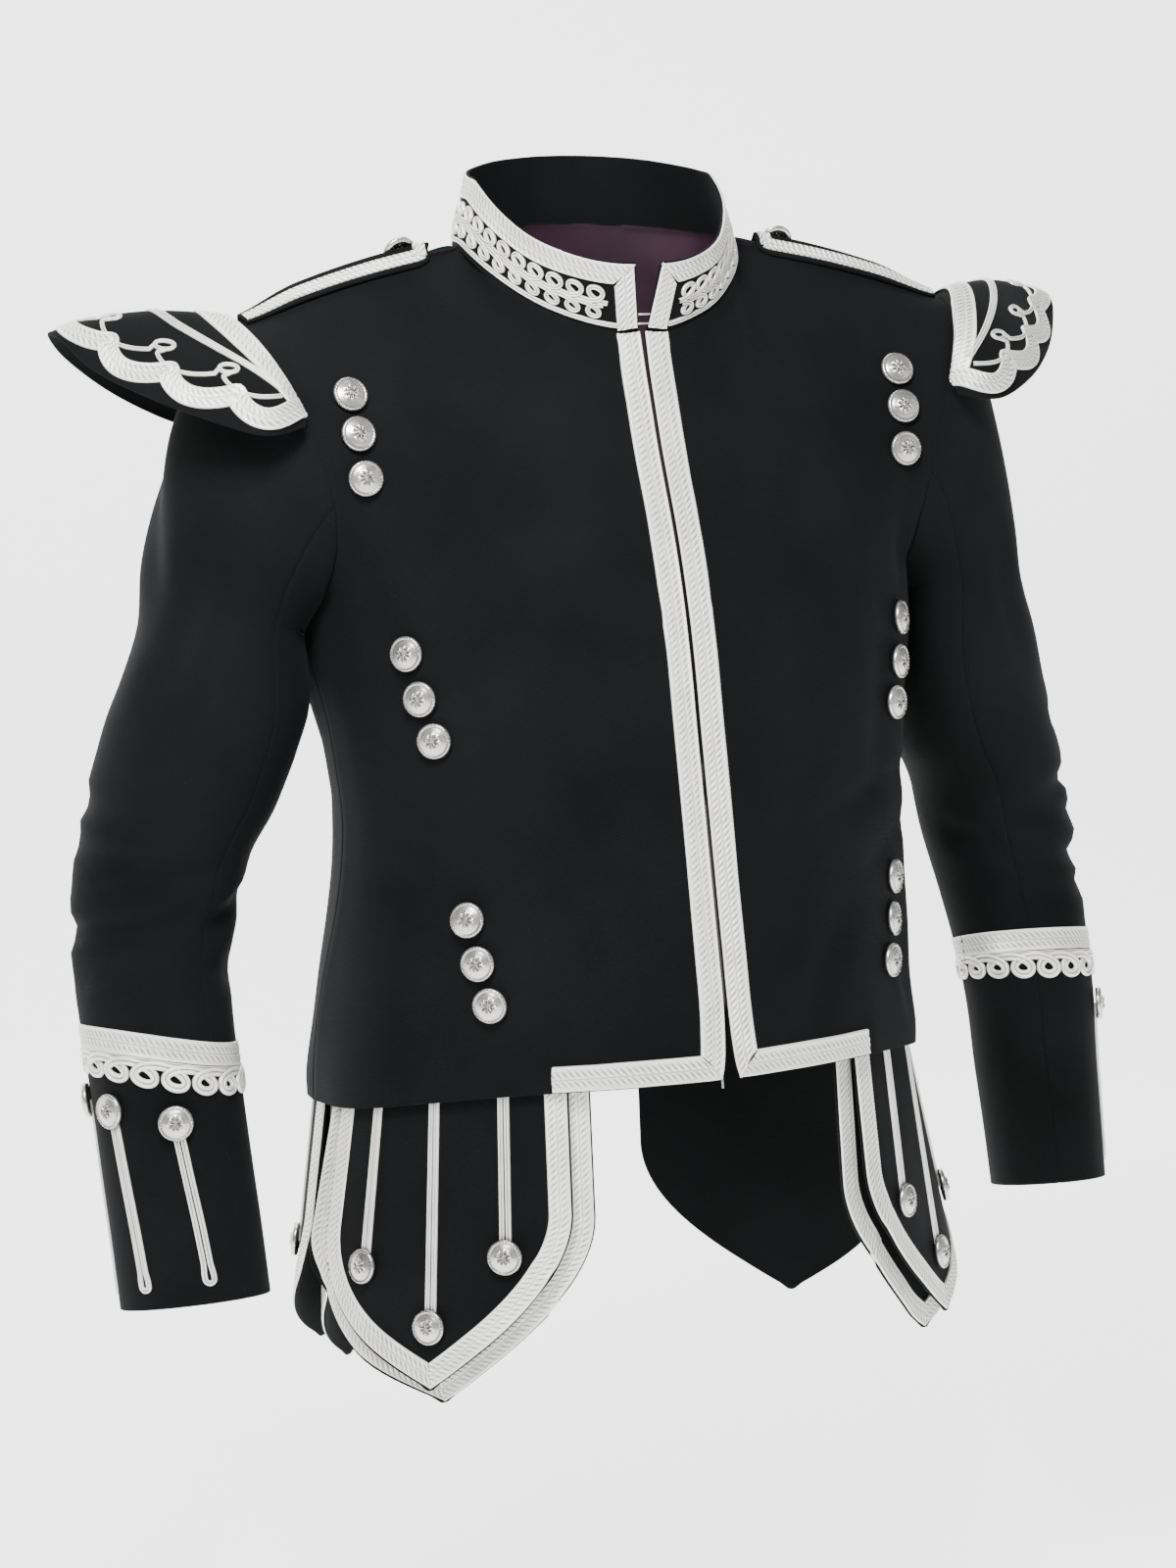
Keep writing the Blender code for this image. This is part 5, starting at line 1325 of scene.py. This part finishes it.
def sleeve_folds(form_cols, folds):
    """Folds of a sleeve over its columns; the way round is counted from the outer side."""
    def lifted(points):
        _, dip = held_edges(points, reach=0.020, seam=0.0006, sides=(1, 1, 1, 0))
        around = np.broadcast_to(form_cols[None, :], points.shape[:2]) * 2.0 * math.pi / SLEEVE_AROUND
        around = (around + math.pi) % (2.0 * math.pi) - math.pi
        a = around * GIRTH
        z = points[..., 2]
        depth = fold_depth(a, z, folds)
        depth = depth + fold_depth(a - 2.0 * math.pi * GIRTH, z, folds)
        depth = depth + fold_depth(a + 2.0 * math.pi * GIRTH, z, folds)
        top = smooth(np.arange(points.shape[0]) / points.shape[0] / 0.10)[:, None]
        return depth * top + dip
    return lifted


half_top = (SLEEVE_AROUND - UNDER_POINTS) // 2
SLEEVE_PLACES = {}
for side, suffix, turn_extra, dip, dip_place in ARMS:
    folds = SLEEVE_FOLDS_R if suffix == "r" else SLEEVE_FOLDS_L
    ring = np.array([[sleeve_point(2.0 * math.pi * k / SLEEVE_AROUND, r / SLEEVE_ROWS, turn_extra)
                      for k in range(SLEEVE_AROUND)] for r in range(SLEEVE_ROWS + 1)])
    form = Form(ring, wrap=True)
    middle = ring.mean(axis=1)
    rows = knots(0, SLEEVE_ROWS, SLEEVE_PER)
    centre = Form(middle[:, None, :].repeat(3, axis=1)).at(rows, np.ones_like(rows))

    def outward(points):
        return points - centre[:, None, :]

    for name, start, stop in (("sleeve_top_", -half_top, half_top),
                              ("sleeve_under_", half_top, half_top + UNDER_POINTS)):
        cols = knots(start, stop, SLEEVE_PER)
        face = dense(form, rows, cols, outward, sleeve_folds(cols, folds))
        shell(name + suffix, face.mirrored(side), WOOL, LINING)
    cols = np.linspace(-SLEEVE_AROUND // 2, SLEEVE_AROUND // 2, SLEEVE_AROUND * 6 + 1)
    row, col = np.meshgrid(rows, cols, indexing="ij")

    def whole_folds(points, cols=cols, folds=folds):
        around = np.broadcast_to(cols[None, :], points.shape[:2]) * 2.0 * math.pi / SLEEVE_AROUND
        return fold_depth(around * GIRTH, points[..., 2], folds)

    SLEEVE_PLACES[suffix] = Face(rows, cols, form.at(row, col), outward, whole_folds).mirrored(side)


def cuff_place(face, dip, dip_place):
    """The sleeve's face at an arc and a depth below the top of the cuff braid, in metres."""
    half = SLEEVE_AROUND // 2
    low = SLEEVE_ROWS - HEAD_ROWS
    span = SLEEVE[0][2] - SLEEVE[-1][2]

    def at(arc, down):
        fade = 1.0 - smooth((down - CUFF_BUTTON_DOWN) / (CUFF_BAR_END - CUFF_BUTTON_DOWN))
        down = down + dip * (0.2 + np.cos(arc / CUFF_GIRTH - math.radians(dip_place))) * fade
        row = HEAD_ROWS + low * (SLEEVE[0][2] - CUFF_TOP + down) / span
        return face.at(row, half * (arc / (math.pi * CUFF_GIRTH)))

    return at


def hairpin(x, top, low, half, lean):
    """A narrow loop of cord: down one side, round the end and up the other; it ends lean further round."""
    wide = half * 1.35
    straight = np.linspace(top, low - 0.012, 14)
    turn = np.linspace(0.0, math.pi, 9)
    path = [(x - half, b) for b in straight] + [(x - wide, low - 0.006)]
    path += [(x - wide * math.cos(t), low - wide + wide * math.sin(t)) for t in turn]
    path += [(x + wide, low - 0.006)] + [(x + half, b) for b in np.linspace(low - 0.012, top, 14)]
    return [(a + lean * (b - top) / (low - top), b) for a, b in path]


CUFF_LEAN = {"r": 0.007, "l": 0.0}   # how much further round the bars end than they start
CUFF_BRAID_DOWN = 0.0084  # middle of the cuff braid and of the cord on its lower edge
CUFF_EDGE_DOWN = 0.0163

for side, suffix, turn_extra, dip, dip_place in ARMS:
    place = cuff_place(SLEEVE_PLACES[suffix], dip, dip_place)
    relief = Relief()
    reach = math.pi * CUFF_GIRTH - 0.0004
    arcs = np.linspace(-reach, reach, 60)
    braid(relief, place, [(a, CUFF_BRAID_DOWN) for a in arcs], half=0.0080)
    cord(relief, place, [(a, CUFF_EDGE_DOWN) for a in arcs], half=0.0013, height=0.0014)
    loops, count = running_loops(-reach, reach, 0.0190, radius=0.0056, level=0.0238, up=1, wide=0.0103)
    cord(relief, place, loops, half=0.0030, height=0.0019, lift=over_under(count, 0.0010), step=0.0010)
    for number in range(3):
        x = math.radians(CUFF_FIRST[suffix] + CUFF_STEP * number) * CUFF_GIRTH
        bar = hairpin(x, CUFF_BUTTON_DOWN, CUFF_BAR_END, CORD_ASIDE, CUFF_LEAN[suffix])
        cord(relief, place, bar, BAR_CORD_HALF)
        spot, normal = place(x, CUFF_BUTTON_DOWN)
        button(relief, spot + normal * ON_CORD, normal)
    relief.make("cuff_braid_" + suffix)


# ---- wings --------------------------------------------------------------------------
WING_ALONGS = [WING_LIMIT * (2.0 * k / WING_COLS - 1.0) for k in range(WING_COLS + 1)]
WING_FORM = Form(np.array([[wing_point(along, out / WING_ROWS) for along in WING_ALONGS]
                           for out in range(WING_ROWS + 1)]))


WING_PER = 4              # dense cells for each cell of the wing's form


def above(points):
    """Upward directions, leaning a little outward."""
    return np.broadcast_to(np.array((0.2, 0.0, 1.0)), points.shape)


WING_FACE = dense(WING_FORM, knots(0, WING_ROWS, WING_PER), knots(0, WING_COLS, WING_PER), above)
WING_EDGE_RUN = run_along(WING_FACE.points[-1])
WING_WIDTHS = np.linalg.norm(np.diff(WING_FACE.points, axis=0), axis=2).sum(axis=0)
WING_LENGTH = float(WING_EDGE_RUN[-1])
SEAM_BRAID_ROW = 0.80     # row and columns of the braid along the armhole seam
SEAM_BRAID_COLS = (0.6, 31.4)
LINE_COLS = (3.5, 28.5)   # columns, row and arch in rows of the double line of cord
LINE_ROW = 1.9
LINE_ARCH = 1.3
LINE_ASIDE = 0.13         # each cord of the double line from its middle, in rows


def wing_place(face):
    """The wing's face at a length along its outer edge and a depth in from it."""
    def at(a, b):
        col = np.interp(a, WING_EDGE_RUN, face.cols)
        width = np.interp(a, WING_EDGE_RUN, WING_WIDTHS)
        return face.at(WING_ROWS * (1.0 - np.clip(b / width, 0.0, 0.97)), col)
    return at


def scallops(start, stop, count, level, deep):
    """Arcs that bulge to the outer edge between cusps that point in, as (along, depth) places."""
    t = np.linspace(0.0, count, 16 * count + 1)
    lobe = np.abs(np.sin(math.pi * t)) ** 0.75
    return np.stack((start + (stop - start) * t / count, level + deep * (1.0 - lobe)), axis=-1)


def scallops_with_eyes(start, stop, count, level, deep, radius):
    """The same line with a small round eye of cord at each cusp."""
    path = []
    step = (stop - start) / count
    for k in range(count):
        arc = scallops(start + step * k, start + step * (k + 1), 1, level, deep)
        path += [tuple(p) for p in arc[1:-1]]
        if k < count - 1:
            a, b = start + step * (k + 1), level + deep
            turn = np.linspace(-0.5 * math.pi - 0.9, 1.5 * math.pi + 0.9, 22)
            middle = b + 1.15 * radius
            path += [(a - WING_FAN * radius * math.cos(t - math.pi), middle + radius * math.sin(t))
                     for t in turn]
    return path


for side, suffix in SIDES:
    face = WING_FACE.mirrored(side)
    shell("wing_" + suffix, face, WOOL, WOOL)
    relief = Relief()
    place = of_face(face)
    seam = [(col, SEAM_BRAID_ROW) for col in np.linspace(*SEAM_BRAID_COLS, 60)]
    braid(relief, place, seam, half=0.0088, eps=CELL_EPS)
    from_edge = wing_place(face)
    first, last = 0.008, WING_LENGTH - 0.008
    lobes = scallops(first, last, WING_LOBES, level=0.0098, deep=0.0110)
    braid(relief, from_edge, lobes, half=0.0070, lift=0.0006)
    eyes = scallops_with_eyes(first + 0.020, last - 0.020, WING_LOBES - 1,
                              level=0.0225, deep=0.0110, radius=0.0044)
    cord(relief, from_edge, eyes, half=0.0015, height=0.0016)
    for aside in (-LINE_ASIDE, LINE_ASIDE):
        line = []
        for col in np.linspace(*LINE_COLS, 50):
            arch = LINE_ARCH * math.sin(math.pi * (col - LINE_COLS[0]) / (LINE_COLS[1] - LINE_COLS[0]))
            line.append((col, LINE_ROW + aside + arch))
        cord(relief, place, line, half=0.0014, height=0.0015, eps=CELL_EPS)
    relief.make("wing_braid_" + suffix)


# ---- straps -------------------------------------------------------------------------
def shoulder_place(along, distance):
    """A point of the shoulder: along 0 neck to 1 tip, distance from the seam, negative in front."""
    form = Form(FRONT if distance < 0.0 else BACK)
    col = NECK_COLS + SHOULDER_COLS * along
    first = form.at(np.array(0.0), np.array(col))
    second = form.at(np.array(1.0), np.array(col))
    row = abs(distance) / float(np.linalg.norm(second - first))
    return form.at(np.array(row), np.array(col))


def strap_points():
    """The strap's upper face, from its round neck end to the shoulder tip."""
    rows = []
    for across in np.linspace(-1.0, 1.0, STRAP_ROWS + 1):
        row = []
        for share in np.concatenate((np.linspace(0.0, STRAP_ROUND, 7), np.linspace(0.2, 1.0, 13))):
            round_part = 1.0 - min(share / STRAP_ROUND, 1.0)
            half = 0.5 * STRAP_WIDTH * math.sqrt(1.0 - 0.93 * round_part ** 2)
            along = STRAP_ENDS[0] + (STRAP_ENDS[1] - STRAP_ENDS[0]) * share
            point = shoulder_place(along, STRAP_BACK + half * across)
            stand = STRAP_EDGE_STAND + STRAP_PAD * (1.0 - across ** 2)
            stand = stand * (1.0 - 0.85 * smooth((share - 0.72) / 0.28)) + STRAP_THICK
            row.append(point + np.array((0.0, 0.0, stand)))
        rows.append(row)
    return np.array(rows)


STRAP_FORM = Form(strap_points())
STRAP_FACE = dense(STRAP_FORM, knots(0, STRAP_ROWS, 3), knots(*STRAP_COLS, 3), above)
for side, suffix in SIDES:
    face = STRAP_FACE.mirrored(side)
    shell("strap_" + suffix, face, WOOL, WOOL, STRAP_THICK)
    relief = Relief()
    place = of_face(face)
    for row in (STRAP_BRAID_ROW, STRAP_ROWS - STRAP_BRAID_ROW):
        edge = [(col, row) for col in np.linspace(*STRAP_BRAID_COLS, 24)]
        braid(relief, place, edge, STRAP_BRAID_HALF, eps=CELL_EPS)
    end = [(STRAP_END_COL, row) for row in np.linspace(*STRAP_END_ROWS, 12)]
    braid(relief, place, end, STRAP_BRAID_HALF, eps=CELL_EPS, lift=0.0003)
    relief.make("strap_braid_" + suffix)
    relief = Relief()
    spot, normal = place(*np.array(STRAP_BUTTON))
    button(relief, spot + normal * 0.0003, normal)
    relief.make("strap_button_" + suffix)


# ---- flaps --------------------------------------------------------------------------
PANEL_COLS = NECK_COLS + SHOULDER_COLS
HEM_POINTS = 91           # read along half a panel's hem
HEM_ROW = np.full(HEM_POINTS, float(PANEL_ROWS))
HEM_LINE = np.concatenate((FRONT_FORM.at(HEM_ROW, np.linspace(0.0, PANEL_COLS, HEM_POINTS)),
                           BACK_FORM.at(HEM_ROW, np.linspace(2 * PANEL_COLS, PANEL_COLS, HEM_POINTS))[1:]))
HEM_RUN = run_along(HEM_LINE)
HEM_AHEAD = np.gradient(HEM_LINE, axis=0)
HEM_OUT = unit(np.stack((HEM_AHEAD[:, 1], -HEM_AHEAD[:, 0], 0.0 * HEM_AHEAD[:, 2]), axis=-1))
HEM_OUT[0] = (0.0, -1.0, 0.0)


REAR_SHARE = 1.2          # share of the flare that a front flap takes towards the side seam
REAR_RUN = 0.080          # length over which it comes to it
CURL_RUN = 0.016          # the same for the curl of the under flap's edge, its share and its way out
CURL_SHARE = 0.35
CURL_OUT = 0.0056
WAVE_TURN = 48.0          # of the flap's wave, in radians for each metre


def flap_point(length, down, inset, share, bend, rear=None):
    """A point of a flap below the hem at a length from the centre front.

    rear is the place from which the flap stands out more, and the one where its edge curls out.
    """
    if rear:
        edge = smooth((length - rear[1]) / CURL_RUN)
        share = share + (REAR_SHARE - share) * smooth((length - rear[0]) / REAR_RUN) + CURL_SHARE * edge
        inset = inset - CURL_OUT * edge
    base = np.stack([np.interp(length, HEM_RUN, HEM_LINE[:, k]) for k in range(3)], axis=-1)
    out = unit(np.stack([np.interp(length, HEM_RUN, HEM_OUT[:, k]) for k in range(3)], axis=-1))
    turn = np.sin(math.pi * length / HEM_RUN[-1]) ** 2
    flare = (FLAP_FLARE_FRONT + (FLAP_FLARE_SIDE - FLAP_FLARE_FRONT) * turn) * share
    fall = np.maximum(down, 0.0) / FLAP_LENGTH
    wave = bend * np.sin(length * WAVE_TURN) * fall ** 1.5
    point = base + out * (flare * fall - inset + wave)[..., None]
    point[..., 2] -= down
    return point


def flap_chart(centre, inset, share, side, bend, rear=None):
    """Reads a flap at (across, down) places in metres."""
    flip = np.array((side, 1.0, 1.0))

    def at(a, b):
        a, b = np.broadcast_arrays(np.asarray(a, float), np.asarray(b, float))
        point = flap_point(centre + a, b, inset, share, bend, rear)
        eps = 0.001
        over = flap_point(centre + a + eps, b, inset, share, bend, rear) - point
        down = flap_point(centre + a, b + eps, inset, share, bend, rear) - point
        return point * flip, unit(np.cross(down, over)) * flip

    return at


TIP_SHARE = 0.985         # share of the flap's length from which its outline runs straight to the tip


def shield(half, length, inset):
    """The left side of the shield outline drawn in by an inset, from the top to the middle line."""
    down = np.linspace(-0.004, length * 0.9999, 160)
    width = np.array([half * flap_width(max(b, 0.0) / length) for b in down])
    tip = down > TIP_SHARE * length
    width[tip] = np.interp(down[tip], (TIP_SHARE * length, length), (half * flap_width(TIP_SHARE), 0.0))
    line = np.stack((-width, down), axis=-1)
    ahead = unit(np.gradient(line, axis=0))
    inner = line + np.stack((ahead[:, 1], -ahead[:, 0]), axis=-1) * inset
    inner = inner[inner[:, 0] < -0.0006]
    over = -inner[-1, 0] / (inner[-1, 0] - inner[-4, 0])
    return np.concatenate((inner, [inner[-1] + (inner[-1] - inner[-4]) * over]))


FLAP_HALF_BRAID = 0.0074
FLAP_BEND = {"r": 0.0018, "l": -0.0015}   # depth of the flaps' wave at their tips
NO_CURL = 1.0             # a place past the hem's end, so that the edge stays flat
for name, centre, half, flare in FLAPS:
    for side, suffix in SIDES:
        label = name + "_" + suffix
        bend = FLAP_BEND[suffix]
        over_half = half - FLAP_UNDER_EXTRA
        pairs = (("flap_over_", over_half, FLAP_LENGTH, FLAP_INSET_OVER, flare),
                 ("flap_under_", half, FLAP_LENGTH + FLAP_UNDER_DROP, FLAP_INSET_UNDER,
                  flare * FLAP_UNDER_FLARE))
        for kind, wide, long, inset, share in pairs:
            rear = None
            if name == "front":
                curl = centre + over_half - 0.003 if kind == "flap_under_" else NO_CURL
                rear = (centre - 0.02, curl)
            place = flap_chart(centre, inset, share, side, bend, rear)
            downs = np.concatenate(([-FLAP_TOP], np.linspace(0.0, long, 40) ** 0.9 * long ** 0.1))
            sides = np.concatenate(([-1.0, -0.985], np.linspace(-0.94, 0.94, 25), [0.985, 1.0]))
            widths = np.array([wide * flap_width(max(d, 0.0) / long) for d in downs])
            across = widths[:, None] * sides[None, :]
            points, normals = place(across, np.broadcast_to(downs[:, None], across.shape))
            face = Face(np.arange(len(downs)) * 1.0, np.arange(len(sides)) * 1.0, points,
                        lambda p, normals=normals: normals)
            shell(kind + label, face, WOOL, WOOL)
            relief = Relief()
            line = shield(wide, long, FLAP_HALF_BRAID + 0.0006)
            tangent = unit(line[-1] - line[-4])
            cut = abs(tangent[1] / tangent[0])
            right = line * np.array((-1.0, 1.0))
            braid(relief, place, line, FLAP_HALF_BRAID, (0.0, -side * cut))
            braid(relief, place, right, FLAP_HALF_BRAID, (0.0, side * cut))
            if kind == "flap_over_":
                for at_share, low in FLAP_CORDS:
                    x = at_share * (wide - FLAP_BRAID)
                    for aside in (-CORD_ASIDE, CORD_ASIDE):
                        bar = [(x + aside, b) for b in np.linspace(-0.004, low, 24)]
                        cord(relief, place, bar, BAR_CORD_HALF)
                    spot, normal = place(x, low)
                    button(relief, spot + normal * ON_CORD, normal)
            relief.make(kind + "braid_" + label)


# ---- front buttons ------------------------------------------------------------------
NUDGE = 0.05              # small step in rows and columns, for slopes


def front_spot(face, across, z):
    """Place and normal of the front face nearest to an X and a height."""
    gap = (np.abs(face.points[..., 0]) - across) ** 2 + (face.points[..., 2] - z) ** 2
    i, j = np.unravel_index(np.argmin(gap), gap.shape)
    row, col = face.rows[i], face.cols[j]
    for _ in range(12):
        point = face.at(row, col)[0]
        ahead, behind = face.at(row, col + NUDGE)[0], face.at(row, col - NUDGE)[0]
        below, over = face.at(row + NUDGE, col)[0], face.at(row - NUDGE, col)[0]
        slopes = np.array(((abs(ahead[0]) - abs(behind[0]), abs(below[0]) - abs(over[0])),
                           (ahead[2] - behind[2], below[2] - over[2]))) / (2.0 * NUDGE)
        move = np.linalg.solve(slopes, np.array((across - abs(point[0]), z - point[2])))
        col = min(max(col + 0.7 * move[0], 0.5), NECK_COLS + SHOULDER_COLS - 0.3)
        row = min(max(row + 0.7 * move[1], 0.5), PANEL_ROWS - 0.2)
    return face.at(row, col)


for _, suffix in SIDES:
    for number, (across, z) in enumerate(FRONT_BUTTONS, 1):
        relief = Relief()
        spot, normal = front_spot(FRONT_FACES[suffix], across, z)
        button(relief, spot + normal * 0.0008, normal)
        relief.make("button_%s_%d" % (suffix, number))


# ---- sheets -------------------------------------------------------------------------
SHEET_COLUMNS = ("piece", "held", "rests on", "pieces on it")
# A % stands for the two sides' suffixes.
SHEETS = (
    ("front_%", "hung", ("back",), ("front_braid_%",)),
    ("back", "hung", ("front_r", "front_l"), ()),
    ("collar", "hung", ("back",), ("collar_braid", "collar_cord")),
    ("sleeve_top_%", "hung", ("front_%", "back"), ("cuff_braid_%",)),
    ("sleeve_under_%", "hung", ("front_%", "back"), ()),
    ("wing_%", "hung", ("front_%", "back"), ("wing_braid_%",)),
    ("strap_%", "laid", ("front_%", "back"), ("strap_braid_%", "strap_button_%")),
    ("flap_over_front_%", "hung", ("front_%",), ("flap_over_braid_front_%",)),
    ("flap_over_back_%", "hung", ("back",), ("flap_over_braid_back_%",)),
    ("flap_under_front_%", "hung", ("front_%",), ("flap_under_braid_front_%",)),
    ("flap_under_back_%", "hung", ("back",), ("flap_under_braid_back_%",)),
)
# Flat sizes of the cut in metres; the area is a share of width times length.
CUT_COLUMNS = ("piece", "width", "length", "area share")
CUTS = {
    "front": (0.290, 0.590, 0.87),
    "back": (0.550, 0.620, 0.90),
    "collar": (0.540, 0.046, 0.98),
    "sleeve_top": (0.240, 0.690, 0.84),
    "sleeve_under": (0.130, 0.550, 0.93),
    "wing": (0.340, 0.095, 0.73),
    "strap": (0.042, 0.150, 0.95),
    "flap": (0.206, 0.216, 0.80),
}
for name, held, rests, on_it in SHEETS:
    width, length, share = next(CUTS[key] for key in CUTS if name.startswith(key))


# ---- stage, light and camera --------------------------------------------------------
FLOOR = -1.02             # height of the floor under the jacket's shoulder line
FLOOR_ENDS = (-3.5, 1.6)  # along Y, from in front of the camera to where it turns up
WALL_TURN = 1.2           # radius of that turn
WALL_TOP = 4.5
FLOOR_HALF = 6.0
PAPER_GLOW = 1.9


def backdrop():
    """A pale floor that turns up into a wall behind."""
    profile = [(end, 0.0) for end in FLOOR_ENDS]
    for t in np.linspace(0.1, 0.5 * math.pi, 14):
        profile.append((FLOOR_ENDS[1] + WALL_TURN * math.sin(t), WALL_TURN - WALL_TURN * math.cos(t)))
    profile.append((2.8, WALL_TOP))
    points = [(x, y, z + FLOOR) for y, z in profile for x in (-FLOOR_HALF, FLOOR_HALF)]
    faces = [(2 * k, 2 * k + 1, 2 * k + 3, 2 * k + 2) for k in range(len(profile) - 1)]
    mesh = bpy.data.meshes.new("backdrop")
    mesh.from_pydata(points, [], faces)
    mesh.shade_smooth()
    obj = bpy.data.objects.new("backdrop", mesh)
    bpy.context.scene.collection.objects.link(obj)
    n = Nodes("backdrop_paper", 0.9, 0.0)
    coords = n.add("TexCoord")
    grain = n.add("TexNoise", Scale=40.0, Detail=3.0)
    n.link(coords, "Object", grain, "Vector")
    colour = n.ramp((grain, "Fac"), 0.3, 0.7, (0.90, 0.90, 0.90), (0.93, 0.93, 0.93))
    n.link(colour, "Color", n.shader, "Base Color")
    n.shader.inputs["Emission Color"].default_value = (1.0, 1.0, 1.0, 1.0)
    n.shader.inputs["Emission Strength"].default_value = PAPER_GLOW
    mesh.materials.append(n.mat)
    obj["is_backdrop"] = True


LIGHT_COLUMNS = ("name", "place", "aim", "size", "power")
LIGHTS = (
    ("key", (-1.9, -1.9, 1.6), (0.0, 0.0, -0.35), 0.9, 50.0),
    ("chest", (-0.50, -0.85, 0.75), (0.0, -0.1, -0.08), 0.4, 42.0),
    ("fill", (2.3, -1.9, 0.6), (0.0, 0.0, -0.40), 1.6, 9.0),
    ("top", (0.2, 0.9, 2.2), (0.0, 0.0, -0.20), 1.2, 50.0),
    ("low", (0.0, -2.6, -0.6), (0.0, 0.0, -0.60), 1.4, 2.0),
)


WORLD_COLOUR = (0.95, 0.96, 1.0, 1.0)
WORLD_STRENGTH = 0.30


def lights():
    """Soft square lamps and a weak, even light from all sides."""
    for name, place, aim, size, power in LIGHTS:
        data = bpy.data.lights.new(name, "AREA")
        data.energy = power
        data.size = size
        lamp = bpy.data.objects.new(name, data)
        lamp.location = place
        lamp.rotation_mode = "QUATERNION"
        lamp.rotation_quaternion = (Vector(aim) - Vector(place)).to_track_quat("-Z", "Y")
        bpy.context.scene.collection.objects.link(lamp)
    world = bpy.data.worlds.new("studio")
    bpy.context.scene.world = world
    world.use_nodes = True
    sky = world.node_tree.nodes["Background"]
    sky.inputs["Color"].default_value = WORLD_COLOUR
    sky.inputs["Strength"].default_value = WORLD_STRENGTH


CAMERA_AIM = (0.0, 0.0, -0.3655)
CAMERA_DISTANCE = 2.6
CAMERA_AZIMUTH = -23.0
CAMERA_ELEVATION = 6.42
CAMERA_ROLL = 2.5
CAMERA_FOCAL = 3893.0     # in pixels of the picture
CAMERA_CENTRE = (630.0, 798.0)
PICTURE = (1200.0, 1600.0)
SENSOR = 36.0             # millimetres for the picture's height


def camera():
    """The camera that sees the jacket as the photo does."""
    az, el, roll = (math.radians(v) for v in (CAMERA_AZIMUTH, CAMERA_ELEVATION, CAMERA_ROLL))
    ahead = Vector((-math.sin(az) * math.cos(el), math.cos(az) * math.cos(el), -math.sin(el)))
    right = Vector((math.cos(az), math.sin(az), 0.0))
    up = right.cross(ahead)
    turned_right = right * math.cos(roll) - up * math.sin(roll)
    turned_up = up * math.cos(roll) + right * math.sin(roll)
    data = bpy.data.cameras.new("camera")
    data.sensor_width = SENSOR
    data.lens = SENSOR * CAMERA_FOCAL / PICTURE[1]
    data.shift_x = -(CAMERA_CENTRE[0] - 0.5 * PICTURE[0]) / PICTURE[1]
    data.shift_y = (CAMERA_CENTRE[1] - 0.5 * PICTURE[1]) / PICTURE[1]
    obj = bpy.data.objects.new("camera", data)
    place = Vector(CAMERA_AIM) - ahead * CAMERA_DISTANCE
    basis = Matrix((turned_right, turned_up, -ahead)).transposed().to_4x4()
    obj.matrix_world = Matrix.Translation(place) @ basis
    bpy.context.scene.collection.objects.link(obj)
    bpy.context.scene.camera = obj


backdrop()
lights()
camera()

low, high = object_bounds()
